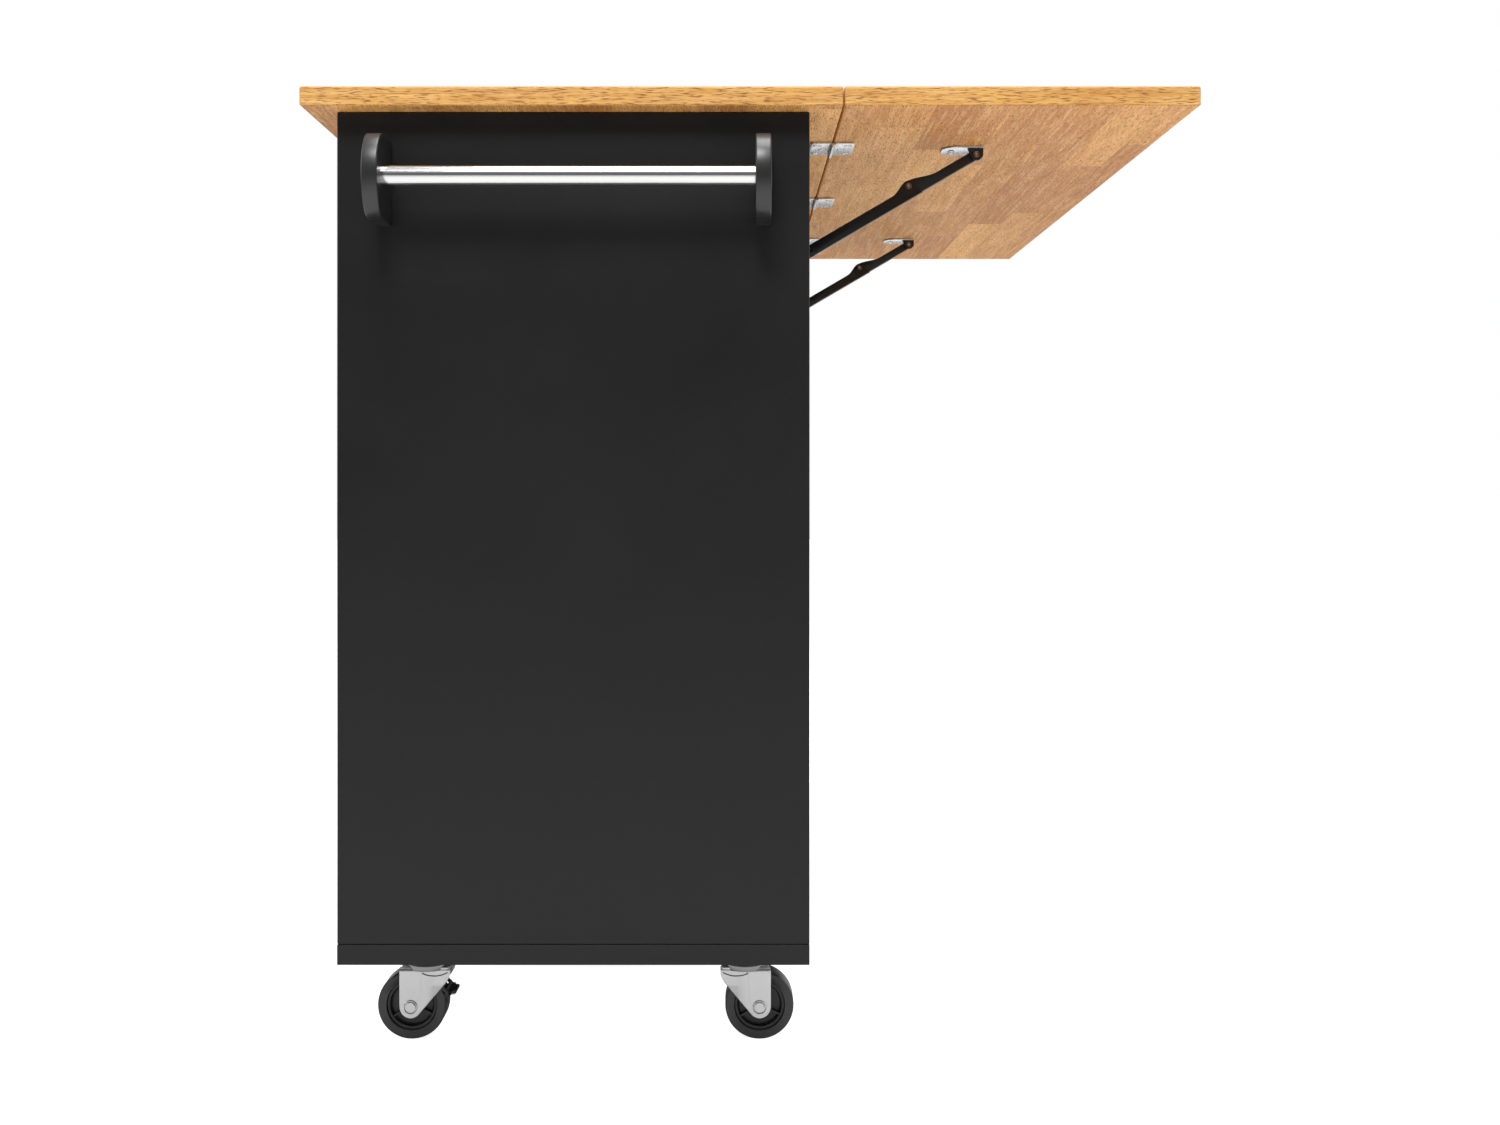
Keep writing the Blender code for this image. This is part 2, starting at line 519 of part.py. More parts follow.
def caster(name, x, y, facing, braked):
    """One swivel caster. facing is +1 where its own direction s points to +Y, and -1 for -Y."""
    def at(s, z):
        return y + facing * s, z

    pivot_line = (x, y, 0)
    roof = CASTER_HEIGHT - TOUCH
    length_x, length_y, thick = CASTER_PLATE
    plate = block(f"caster_plate_{name}", (x - length_x / 2, y - length_y / 2, roof - thick),
                  (x + length_x / 2, y + length_y / 2, roof), ZINC)
    cup = rod(f"cut_cup_{name}", CUP_RADIUS, (x, y, RACEWAY_Z[1] + TOUCH), (x, y, roof - thick / 2))
    kingpin = rod(f"cut_kingpin_{name}", KINGPIN_RADIUS, (x, y, KINGPIN_HEAD[2] - 0.0005), (x, y, 0.080))
    head = rod(f"cut_kingpin_head_{name}", KINGPIN_HEAD[0], (x, y, KINGPIN_HEAD[1]),
               (x, y, KINGPIN_HEAD[2]))
    combine(plate, "UNION", cup, kingpin, head)

    fork = rod(f"caster_fork_{name}", RACEWAY_RADIUS, (x, y, RACEWAY_Z[0]), (x, y, RACEWAY_Z[1]), ZINC,
               pivot_line, sides=32)
    axle = at(-AXLE_TRAIL, WHEEL_RADIUS)
    top = RACEWAY_Z[0] + 0.0035
    outer_edge = -AXLE_TRAIL - FORK_LEG_HALF
    outline = [at(-0.0195, top), at(outer_edge, top - 0.006)]
    for i in range(9):
        t = pi + (pi + FORK_TANGENT) * i / 8
        outline.append(at(-AXLE_TRAIL + FORK_LEG_HALF * cos(t), WHEEL_RADIUS + FORK_LEG_HALF * sin(t)))
    outline += [at(*FORK_GUSSET[0]), at(*FORK_GUSSET[1]), at(FORK_GUSSET[1][0], top)]
    for side in (-1, 1):
        xs = sorted((x + side * FORK_INNER, x + side * (FORK_INNER + FORK_PLATE)))
        combine(fork, "UNION", prism(f"cut_leg_{name}_{side}", outline, *xs))
    crown_y = sorted((at(outer_edge, 0)[0], at(FORK_GUSSET[1][0], 0)[0]))
    outside = FORK_INNER + FORK_PLATE
    combine(fork, "UNION", block(f"cut_crown_{name}", (x - outside, crown_y[0] + 0.006, RACEWAY_Z[0]),
                                 (x + outside, crown_y[1], top)))
    through = (x - 0.03, x + 0.03)
    combine(fork, "DIFFERENCE",
            bore(f"cut_king_hole_{name}", KINGPIN_RADIUS, (x, y, 0.060), (x, y, 0.080)),
            rod(f"cut_axle_hole_{name}", AXLE_RADIUS + TOUCH, (through[0], *axle), (through[1], *axle)))

    axle_end = outside + 0.0012
    bolt = rod(f"caster_axle_{name}", AXLE_RADIUS, (x - axle_end, *axle), (x + axle_end, *axle), ZINC,
               (x, *axle))
    for side in (-1, 1):
        near, far = x + side * (outside + TOUCH), x + side * (outside + 0.0022)
        combine(bolt, "UNION", rod(f"cut_axle_head_{name}_{side}", AXLE_HEAD, (near, *axle), (far, *axle)))
    turned(f"caster_wheel_{name}", wheel_profile(), (x, *axle), (1, 0, 0), TYRE, (x, *axle))

    if braked:
        pivot = at(*PEDAL_PIVOT)
        (s0, z0), (s1, z1) = PEDAL_PAD
        pad_y = sorted((at(s0, 0)[0], at(s1, 0)[0]))
        bar_y = sorted((at(s0, 0)[0], at(PEDAL_BAR_END, 0)[0]))
        pedal = block(f"brake_pedal_{name}", (x - PEDAL_PAD_HALF, pad_y[0], z0),
                      (x + PEDAL_PAD_HALF, pad_y[1], z1), PLASTIC, (x, *pivot))
        soften(pedal, 0.0008, 1)
        cross_bar = block(f"cut_pedal_bar_{name}", (x - PEDAL_ARM[1], bar_y[0], z0),
                          (x + PEDAL_ARM[1], bar_y[1], z1))
        combine(pedal, "UNION", cross_bar)
        arm = capsule(pivot, at((s0 + PEDAL_BAR_END) / 2, (z0 + z1) / 2), 0.0042, 0.0020)
        for side in (-1, 1):
            xs = sorted((x + side * PEDAL_ARM[0], x + side * PEDAL_ARM[1]))
            pin_x = (x + side * (PEDAL_ARM[0] + 0.0005), x + side * (outside + 0.0004))
            combine(pedal, "UNION", prism(f"cut_pedal_arm_{name}_{side}", arm, *xs),
                    rod(f"cut_pedal_pin_{name}_{side}", PEDAL_PIN_RADIUS, (pin_x[0], *pivot),
                        (pin_x[1], *pivot), sides=12))
        combine(fork, "DIFFERENCE",
                bore(f"cut_pedal_hole_{name}", PEDAL_PIN_RADIUS, (through[0], *pivot),
                     (through[1], *pivot), sides=12))


def casters():
    for end, x in (("towel", END - CASTER_END_INSET), ("plain", CASTER_END_INSET - END)):
        caster(f"front_{end}", x, FRONT + CASTER_FRONT_INSET, 1, True)
        caster(f"back_{end}", x, BACK - CASTER_BACK_INSET, -1, False)


clear_scene()
cart = bpy.data.objects.new("cart", None)
cart.location = (-CENTRE_SHIFT, 0, 0)
bpy.context.scene.collection.objects.link(cart)
tops()
butt_hinges()
doors(*carcass())
drawers()
braces()
towel_bar()
casters()
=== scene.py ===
"""Kitchen island cart: the looks of a rolling butcher-block cart with a drop leaf.

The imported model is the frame. Each section below finishes one group of pieces, in the order in which
the cart is put together.
"""

import json

import bmesh
import bpy
import numpy as np
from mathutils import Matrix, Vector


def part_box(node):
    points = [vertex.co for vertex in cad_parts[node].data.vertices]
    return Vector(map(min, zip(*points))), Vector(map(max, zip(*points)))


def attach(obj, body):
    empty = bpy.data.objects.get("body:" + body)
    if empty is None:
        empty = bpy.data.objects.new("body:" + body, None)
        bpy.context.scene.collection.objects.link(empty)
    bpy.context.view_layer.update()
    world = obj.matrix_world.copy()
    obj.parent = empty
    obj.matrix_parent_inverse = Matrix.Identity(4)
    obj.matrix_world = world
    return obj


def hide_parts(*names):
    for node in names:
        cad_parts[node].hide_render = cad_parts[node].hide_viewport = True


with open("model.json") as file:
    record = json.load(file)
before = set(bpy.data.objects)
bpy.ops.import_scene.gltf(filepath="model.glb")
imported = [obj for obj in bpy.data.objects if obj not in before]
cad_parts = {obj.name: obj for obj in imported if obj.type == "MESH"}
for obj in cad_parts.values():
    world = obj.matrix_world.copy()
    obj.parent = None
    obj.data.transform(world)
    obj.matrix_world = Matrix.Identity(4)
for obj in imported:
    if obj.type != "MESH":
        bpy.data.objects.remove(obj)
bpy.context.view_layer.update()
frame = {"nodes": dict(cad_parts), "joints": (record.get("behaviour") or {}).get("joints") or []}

# ---------------------------------------------------------------------------------------------------
# Camera, floor and studio light.
# A level camera looks straight at the end with the towel bar, from just in front of the cabinet's back.
# The floor is a pale sweep. The strongest soft box hangs overhead, a smaller key box lights the towel
# end, and one box each stands at the front, the back and the far end.
TOP_LOW, TOP_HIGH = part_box("top_board")
UNDERSIDE = TOP_LOW.z
CAMERA_DISTANCE = 1.4765
CAMERA_FROM_FRONT_EDGE = 0.3945
CAMERA_HEIGHT = 0.533
LENS_MM = 38.52
SHIFT_X = 0.01477
SHIFT_Y = -0.051

camera_data = bpy.data.cameras.new("view")
camera_data.lens = LENS_MM
camera_data.sensor_width = 36.0
camera_data.shift_x = SHIFT_X
camera_data.shift_y = SHIFT_Y
camera_data.clip_start = 0.02
camera = bpy.data.objects.new("view", camera_data)
camera.location = (TOP_HIGH.x + CAMERA_DISTANCE, TOP_LOW.y + CAMERA_FROM_FRONT_EDGE, CAMERA_HEIGHT)
camera.rotation_euler = (np.pi / 2, 0, np.pi / 2)
bpy.context.scene.collection.objects.link(camera)
bpy.context.scene.camera = camera
bpy.context.scene.view_settings.view_transform = "Standard"


def add_node(tree, kind, inputs=None, **settings):
    """Adds a shader node. A socket among the inputs is linked, and any other value is set."""
    made = tree.nodes.new("ShaderNode" + kind)
    for key, value in settings.items():
        setattr(made, key, value)
    for key, value in (inputs or {}).items():
        if isinstance(value, bpy.types.NodeSocket):
            tree.links.new(value, made.inputs[key])
        else:
            made.inputs[key].default_value = value
    return made


def calc(tree, operation, *values):
    """The result of one Math node."""
    return add_node(tree, "Math", dict(enumerate(values)), operation=operation).outputs[0]


def mix_colour(tree, factor, first, second, blend="MIX"):
    """Two colours mixed by a factor. A socket or an (r, g, b) triple may stand for each colour."""
    pair = [c if isinstance(c, bpy.types.NodeSocket) else (*c, 1.0) for c in (first, second)]
    made = add_node(tree, "Mix", {0: factor, 6: pair[0], 7: pair[1]}, data_type="RGBA", blend_type=blend)
    return made.outputs[2]


def ranged(tree, value, low, high, to_low, to_high):
    """A value from one range carried onto another, and held at its ends."""
    inputs = {"Value": value, "From Min": low, "From Max": high, "To Min": to_low, "To Max": to_high}
    return add_node(tree, "MapRange", inputs).outputs["Result"]


world = bpy.data.worlds.new("studio")
world.use_nodes = True
sky = world.node_tree
sky.nodes.clear()
seen = add_node(sky, "LightPath").outputs["Is Camera Ray"]
# The studio walls are dimmer than its ceiling, so that rounded metal shows a dark band at eye level.
WALL_LIGHT = 0.14
CEILING_LIGHT = 0.70
direction = add_node(sky, "SeparateXYZ", {0: add_node(sky, "TexCoord").outputs["Generated"]}).outputs
rise = ranged(sky, direction["Z"], 0.22, 0.80, WALL_LIGHT, CEILING_LIGHT)
sky_strength = add_node(sky, "Mix", {0: seen, 2: rise, 3: 1.0}, data_type="FLOAT").outputs[0]
background = add_node(sky, "Background", {"Color": (1, 1, 1, 1), "Strength": sky_strength})
add_node(sky, "OutputWorld", {"Surface": background.outputs[0]})
bpy.context.scene.world = world


def soft_box(name, place, target, size, watts):
    """A square area light at a place, turned towards a target."""
    light = bpy.data.lights.new(name, "AREA")
    light.shape = "SQUARE"
    light.size = size
    light.energy = watts
    made = bpy.data.objects.new(name, light)
    made.location = place
    aim = Vector(target) - Vector(place)
    made.rotation_euler = aim.to_track_quat("-Z", "Y").to_euler()
    bpy.context.scene.collection.objects.link(made)


soft_box("key_light", (2.3, -0.3, 2.9), (0.4, 0, 0.6), 0.8, 40)
soft_box("front_light", (0.3, -3.2, 2.0), (0, 0, 0.5), 2.0, 38)
soft_box("back_light", (-0.4, 3.2, 1.6), (0, 0, 0.5), 2.0, 34)
soft_box("far_light", (-3.0, 0.4, 2.2), (0, 0, 0.5), 2.0, 34)
soft_box("ceiling_light", (0.9, 0.1, 3.6), (0.7, 0.1, 0), 1.6, 60)

FLOOR_HALF = 14.0
floor_mesh = bpy.data.meshes.new("floor")
corners = np.array([(-1, -1), (1, -1), (1, 1), (-1, 1)]) * FLOOR_HALF
floor_mesh.from_pydata([(x, y, 0.0) for x, y in corners], [], [(0, 1, 2, 3)])
floor = bpy.data.objects.new("floor", floor_mesh)
floor_paint = bpy.data.materials.new("pale_floor")
floor_paint.use_nodes = True
floor_tree = floor_paint.node_tree
floor_shader = floor_tree.nodes["Principled BSDF"]
floor_shader.inputs["Base Color"].default_value = (0.93, 0.93, 0.93, 1)
floor_shader.inputs["Roughness"].default_value = 0.7
floor_shader.inputs["Emission Color"].default_value = (1, 1, 1, 1)
FLOOR_GLOW = 0.95
floor_seen = add_node(floor_tree, "LightPath").outputs["Is Camera Ray"]
glow = calc(floor_tree, "MULTIPLY", floor_seen, FLOOR_GLOW)
floor_tree.links.new(glow, floor_shader.inputs["Emission Strength"])
floor_mesh.materials.append(floor_paint)
bpy.context.scene.collection.objects.link(floor)

# ---------------------------------------------------------------------------------------------------
# Butcher-block top and drop leaf.
# Rubberwood staves glued side by side along the cart, each made of short lengths finger-jointed end to
# end, sanded and oiled. The two boards meet at the seam, and their edges are eased by hand.


def new_group(name, inputs, outputs):
    """An empty shader node group with named sockets, and its input and output nodes."""
    group = bpy.data.node_groups.new(name, "ShaderNodeTree")
    kinds = {"value": "NodeSocketFloat", "vector": "NodeSocketVector", "colour": "NodeSocketColor"}
    for label, kind in inputs:
        group.interface.new_socket(label, in_out="INPUT", socket_type=kinds[kind])
    for label, kind in outputs:
        group.interface.new_socket(label, in_out="OUTPUT", socket_type=kinds[kind])
    return group, group.nodes.new("NodeGroupInput"), group.nodes.new("NodeGroupOutput")


def stretched(tree, vector, x, y, z):
    """The vector with each axis multiplied by its own factor."""
    inputs = {0: vector, 1: (x, y, z)}
    return add_node(tree, "VectorMath", inputs, operation="MULTIPLY").outputs[0]


def noise(tree, vector, scale, detail=4.0, roughness=0.55, distortion=0.0):
    """The value of a Noise Texture."""
    inputs = {"Vector": vector, "Scale": scale, "Detail": detail, "Roughness": roughness,
              "Distortion": distortion}
    return add_node(tree, "TexNoise", inputs).outputs["Fac"]


# Long grain runs along X of the vector given: broad figure, fine streaks and short open pores.
grain_group, grain_in, grain_out = new_group(
    "long_grain", [("Vector", "vector"), ("Pore Size", "value")],
    [("Figure", "value"), ("Streaks", "value"), ("Pores", "value")])
grain_vector = grain_in.outputs["Vector"]
figure = noise(grain_group, stretched(grain_group, grain_vector, 5, 42, 42), 1.0, 3.0, 0.5, 1.6)
streaks = noise(grain_group, stretched(grain_group, grain_vector, 14, 330, 330), 1.0, 3.0, 0.6, 0.3)
pore_vector = stretched(grain_group, grain_vector, 95, 1050, 1050)
pore_vector = add_node(grain_group, "VectorMath", {0: pore_vector, 3: grain_in.outputs["Pore Size"]},
                       operation="SCALE").outputs[0]
pores = ranged(grain_group, noise(grain_group, pore_vector, 1.0, 2.0, 0.5), 0.53, 0.66, 0.0, 1.0)
for label, value in (("Figure", figure), ("Streaks", streaks), ("Pores", pores)):
    grain_group.links.new(value, grain_out.inputs[label])


def use_group(tree, group, **inputs):
    """Places a node group, with its sockets named by words joined with underscores."""
    made = tree.nodes.new("ShaderNodeGroup")
    made.node_tree = group
    for key, value in inputs.items():
        socket = made.inputs[key.replace("_", " ")]
        if isinstance(value, bpy.types.NodeSocket):
            tree.links.new(value, socket)
        else:
            socket.default_value = value
    return made


def new_material(name, **values):
    """A material with its Principled shader set from values, and the object's own coordinates."""
    made = bpy.data.materials.new(name)
    made.use_nodes = True
    tree = made.node_tree
    shader = tree.nodes["Principled BSDF"]
    for key, value in values.items():
        shader.inputs[key.replace("_", " ")].default_value = value
    return made, tree, shader, tree.nodes.new("ShaderNodeTexCoord").outputs


def bump(tree, shader, height, distance, strength=1.0):
    """Feeds a height, in metres when multiplied by distance, to the shader's normal."""
    made = add_node(tree, "Bump", {"Height": height, "Distance": distance, "Strength": strength})
    tree.links.new(made.outputs["Normal"], shader.inputs["Normal"])


STAVE_WIDTH = 0.043
LENGTH_OF_PIECE = 0.30
FINGER_PITCH = 0.0072
FINGER_DEPTH = 0.0050
block_wood, tree, shader, coords = new_material("butcher_block_oiled", Specular_IOR_Level=0.20)
place = add_node(tree, "SeparateXYZ", {0: coords["Object"]}).outputs
facing = add_node(tree, "SeparateXYZ", {0: coords["Normal"]}).outputs
on_end = ranged(tree, calc(tree, "ABSOLUTE", facing["X"]), 0.6, 0.8, 0.0, 1.0)
across = calc(tree, "DIVIDE", place["Y"], STAVE_WIDTH)
stave = calc(tree, "FLOOR", across)
stave_random = add_node(tree, "TexWhiteNoise", {"W": stave}, noise_dimensions="1D").outputs["Value"]
zigzag = calc(tree, "PINGPONG", place["Y"], FINGER_PITCH / 2)
zigzag = calc(tree, "MULTIPLY", zigzag, FINGER_DEPTH * 2 / FINGER_PITCH)
along = calc(tree, "ADD", place["X"], zigzag)
along = calc(tree, "DIVIDE", along, LENGTH_OF_PIECE)
along = calc(tree, "ADD", along, calc(tree, "MULTIPLY", stave_random, 9.7))
length = calc(tree, "FLOOR", along)
pair = add_node(tree, "CombineXYZ", {0: length, 1: stave}).outputs[0]
piece_random = add_node(tree, "TexWhiteNoise", {"Vector": pair}, noise_dimensions="3D").outputs["Value"]
shifted = add_node(tree, "VectorMath", {0: coords["Object"], 1: pair}, operation="ADD").outputs[0]
turned_grain = add_node(tree, "CombineXYZ", {0: place["Y"], 1: place["Z"], 2: place["X"]}).outputs[0]
grain_place = add_node(tree, "Mix", {0: on_end, 4: shifted, 5: turned_grain}, data_type="VECTOR").outputs[1]
grain = use_group(tree, grain_group, Vector=grain_place, Pore_Size=1.0).outputs
tone = mix_colour(tree, piece_random, (0.560, 0.205, 0.036), (0.930, 0.465, 0.122))
edge_tone = mix_colour(tree, noise(tree, coords["Object"], 14.0), (0.640, 0.315, 0.074),
                       (0.860, 0.490, 0.145))
tone = mix_colour(tree, on_end, tone, edge_tone)
tone = mix_colour(tree, ranged(tree, grain["Figure"], 0.35, 0.70, 0.0, 0.50), tone, (0.50, 0.21, 0.062))
tone = mix_colour(tree, ranged(tree, grain["Streaks"], 0.45, 0.72, 0.0, 0.55), tone, (0.95, 0.62, 0.27))
tone = mix_colour(tree, calc(tree, "MULTIPLY", grain["Pores"], 0.86), tone, (0.24, 0.070, 0.010))
joint = calc(tree, "FRACT", along)
joint = calc(tree, "LESS_THAN", joint, 0.0030)
glue = calc(tree, "LESS_THAN", calc(tree, "FRACT", across), 0.010)
lines = calc(tree, "MAXIMUM", joint, glue)
lines = calc(tree, "MULTIPLY", lines, calc(tree, "SUBTRACT", 0.45, calc(tree, "MULTIPLY", on_end, 0.40)))
tone = mix_colour(tree, lines, tone, (0.33, 0.14, 0.045))
tree.links.new(tone, shader.inputs["Base Color"])
tree.links.new(ranged(tree, grain["Figure"], 0.3, 0.7, 0.40, 0.54), shader.inputs["Roughness"])
relief = calc(tree, "SUBTRACT", calc(tree, "MULTIPLY", grain["Streaks"], 0.35), grain["Pores"])
bump(tree, shader, relief, 0.00025, 0.6)


def finish_node(node, material):
    """Gives a kept CAD solid its material."""
    slots = frame["nodes"][node].data.materials
    slots.clear()
    slots.append(material)
    return frame["nodes"][node]


def ease_edges(obj, width, segments=2, angle=0.6):
    """Rounds the arrises of a kept CAD solid, after its loose triangles are joined."""
    weld = obj.modifiers.new("Join", "WELD")
    weld.merge_threshold = 0.00002
    bevel = obj.modifiers.new("Eased edges", "BEVEL")
    bevel.width = width
    bevel.segments = segments
    bevel.limit_method = "ANGLE"
    bevel.angle_limit = angle
    bevel.harden_normals = False


for board in ("top_board", "leaf_board"):
    ease_edges(finish_node(board, block_wood), 0.0011, 3)

# ---------------------------------------------------------------------------------------------------
# Painted boards of the cabinet.
# Fibreboard with a sprayed satin black lacquer, screwed together from inside, with eased edges. The
# back panel is held to the ends and the base by a row of small black screws.

# Handling marks: cloudy patches, fine grain and sparse specks, at sizes in the object's own metres.
marks_group, marks_in, marks_out = new_group(
    "handling_marks", [("Vector", "vector"), ("Fineness", "value")],
    [("Cloud", "value"), ("Grain", "value"), ("Specks", "value")])
marks_vector = marks_in.outputs["Vector"]
fine_vector = add_node(marks_group, "VectorMath", {0: marks_vector, 3: marks_in.outputs["Fineness"]},
                       operation="SCALE").outputs[0]
marks = {"Cloud": noise(marks_group, marks_vector, 7.0, 5.0, 0.6),
         "Grain": noise(marks_group, fine_vector, 1.0, 2.0, 0.5),
         "Specks": ranged(marks_group, noise(marks_group, fine_vector, 0.21, 3.0, 0.7), 0.66, 0.76, 0.0, 1.0)}
for label, value in marks.items():
    marks_group.links.new(value, marks_out.inputs[label])

lacquer, tree, shader, coords = new_material("satin_black_lacquer", Specular_IOR_Level=0.34)
marks = use_group(tree, marks_group, Vector=coords["Object"], Fineness=1700.0).outputs
tone = mix_colour(tree, marks["Cloud"], (0.0042, 0.0042, 0.0043), (0.0062, 0.0062, 0.0063))
tone = mix_colour(tree, calc(tree, "MULTIPLY", marks["Specks"], 0.10), tone, (0.05, 0.05, 0.05))
tree.links.new(tone, shader.inputs["Base Color"])
tree.links.new(ranged(tree, marks["Cloud"], 0.3, 0.7, 0.40, 0.47), shader.inputs["Roughness"])
bump(tree, shader, marks["Grain"], 0.00003, 0.5)

EASE = 0.0014
for board in ("towel_end_panel", "plain_end_panel", "bottom_board", "back_panel", "drawer_deck",
              "drawer_divider", "top_rail", "shelf", "shelf_cleat_towel_end", "shelf_cleat_plain_end",
              "door_towel_end", "door_plain_end", "drawer_front_towel_end", "drawer_front_plain_end"):
    ease_edges(finish_node(board, lacquer), EASE, 3)


def grid_quads(rows, columns, close_rows=False, close_columns=True):
    """Corner numbers of the quads of a grid of points stored row by row."""
    r = np.arange(rows if close_rows else rows - 1)[:, None]
    c = np.arange(columns if close_columns else columns - 1)[None, :]
    r2, c2 = (r + 1) % rows, (c + 1) % columns
    quads = [r * columns + c, r * columns + c2, r2 * columns + c2, r2 * columns + c]
    return np.stack(quads, -1).reshape(-1, 4)


def skin(points, close_rows=False, close_columns=True, caps=True):
    """A grid of points (rows, columns, 3) as a shell: its points and its faces, with flat ends."""
    rows, columns = points.shape[:2]
    faces = grid_quads(rows, columns, close_rows, close_columns).tolist()
    if caps and not close_rows:
        faces += [list(range(columns))[::-1], list(range((rows - 1) * columns, rows * columns))]
    return points.reshape(-1, 3), faces


def make_piece(name, shells, material, body, nodes=(), sharp=0.6):
    """Joins shells into one named piece, faces out, riding on a CAD body."""
    points, faces, start = [], [], 0
    for shell_points, shell_faces in shells:
        points.append(shell_points)
        faces += [[start + i for i in face] for face in shell_faces]
        start += len(shell_points)
    mesh = bpy.data.meshes.new(name)
    mesh.from_pydata(np.concatenate(points).tolist(), [], faces)
    solid = bmesh.new()
    solid.from_mesh(mesh)
    bmesh.ops.remove_doubles(solid, verts=solid.verts, dist=1e-7)
    bmesh.ops.recalc_face_normals(solid, faces=solid.faces)
    solid.to_mesh(mesh)
    solid.free()
    mesh.shade_smooth()
    mesh.set_sharp_from_angle(angle=sharp)
    mesh.materials.append(material)
    obj = bpy.data.objects.new(name, mesh)
    bpy.context.scene.collection.objects.link(obj)
    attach(obj, body)
    if nodes:
        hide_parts(*nodes)
    return obj


def axes_for(direction):
    """Two unit vectors across a direction, and the direction itself, as the columns of a matrix."""
    direction = np.asarray(direction, float) / np.linalg.norm(direction)
    other = np.array((0.0, 0.0, 1.0)) if abs(direction[2]) < 0.9 else np.array((0.0, 1.0, 0.0))
    first = np.cross(other, direction)
    first /= np.linalg.norm(first)
    return np.stack([first, np.cross(direction, first), direction], axis=1)


def turned(profile, centre, direction, sides=48, loop=False):
    """A profile of (radius, height) pairs carried round an axis: r cos t, r sin t, h."""
    profile = np.asarray(profile, float)
    t = np.linspace(0, 2 * np.pi, sides, endpoint=False)
    radius, height = profile[:, :1], profile[:, 1:]
    local = np.stack([radius * np.cos(t), radius * np.sin(t), height + 0 * t], axis=-1)
    return skin(local @ axes_for(direction).T + np.asarray(centre, float), close_rows=loop)


def screw_head(centre, direction, radius, dome=0.0004, depth=0.0006):
    """A cross-recess head: a disc whose height is a low dome, less a cross-shaped pit."""
    sides, rings = 40, 12
    t = np.linspace(0, 2 * np.pi, sides, endpoint=False)[None, :]
    rho = np.linspace(0.04, 1.0, rings)[:, None]
    a, b = rho * np.cos(t), rho * np.sin(t)
    arm = np.maximum(np.exp(-(a / 0.15) ** 6 - (b / 0.58) ** 8), np.exp(-(b / 0.15) ** 6 - (a / 0.58) ** 8))
    height = dome * (1 - rho ** 2) - depth * arm
    local = np.stack([a * radius, b * radius, height], axis=-1)
    skirt = local[-1:].copy()
    skirt[..., 2] -= 0.0006
    local = np.concatenate([local, skirt])
    return skin(local @ axes_for(direction).T + np.asarray(centre, float))


def screw_shade_ring(centre, direction, radius):
    """A painted shade ring round a head: a thin dark ring from radius to radius * 1.22, closed round its
    section, standing in for the shadowed gap.
    """
    section = [(radius, 0.00012), (radius * 1.22, 0.00012), (radius * 1.22, -0.0003), (radius, -0.0003)]
    return turned(section, centre, direction, 36, loop=True)


black_steel, tree, shader, coords = new_material("black_coated_steel", Specular_IOR_Level=0.36)
marks = use_group(tree, marks_group, Vector=coords["Object"], Fineness=2600.0).outputs
tone = mix_colour(tree, marks["Cloud"], (0.0060, 0.0060, 0.0061), (0.0105, 0.0104, 0.0102))
tone = mix_colour(tree, calc(tree, "MULTIPLY", marks["Specks"], 0.2), tone, (0.10, 0.095, 0.09))
tree.links.new(tone, shader.inputs["Base Color"])
tree.links.new(ranged(tree, marks["Cloud"], 0.3, 0.7, 0.28, 0.38), shader.inputs["Roughness"])
bump(tree, shader, marks["Grain"], 0.00002, 0.5)

BACK_SCREW_RADIUS = 0.0032
BACK_SCREW_INSET = 0.010
back_low, back_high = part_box("back_panel")
upright = np.linspace(back_low.z + 0.03, back_high.z - 0.03, 6)
level = np.linspace(back_low.x + 0.15, back_high.x - 0.15, 5)
spots = [(x, z) for x in (back_low.x + BACK_SCREW_INSET, back_high.x - BACK_SCREW_INSET) for z in upright]
spots += [(x, back_low.z + BACK_SCREW_INSET) for x in level]
make_piece("back_panel_screws",
           [screw_head((x, back_high.y + 0.0001, z), (0, 1, 0), BACK_SCREW_RADIUS, 0.0009) for x, z in spots],
           black_steel, "cabinet")

# ---------------------------------------------------------------------------------------------------
# Drawer boxes.
# Plain birch boxes, glued at the corners and left with a thin clear seal, screwed behind the fronts.
birch, tree, shader, coords = new_material("drawer_birch_sealed", Specular_IOR_Level=0.4)
grain = use_group(tree, grain_group, Vector=coords["Object"], Pore_Size=1.6).outputs
tone = mix_colour(tree, grain["Figure"], (0.72, 0.56, 0.36), (0.60, 0.43, 0.25))
tone = mix_colour(tree, calc(tree, "MULTIPLY", grain["Pores"], 0.2), tone, (0.40, 0.25, 0.12))
tree.links.new(tone, shader.inputs["Base Color"])
tree.links.new(ranged(tree, grain["Streaks"], 0.3, 0.7, 0.48, 0.62), shader.inputs["Roughness"])
bump(tree, shader, grain["Streaks"], 0.0001, 0.4)
for box_name in ("drawer_box_towel_end", "drawer_box_plain_end"):
    ease_edges(finish_node(box_name, birch), 0.0008)

# ---------------------------------------------------------------------------------------------------
# Butt hinges under the seam, and the door pins.
# Bright nickel-plated steel: a pressed plate on each board with rolled knuckles round one pin, held by
# three countersunk screws a plate.


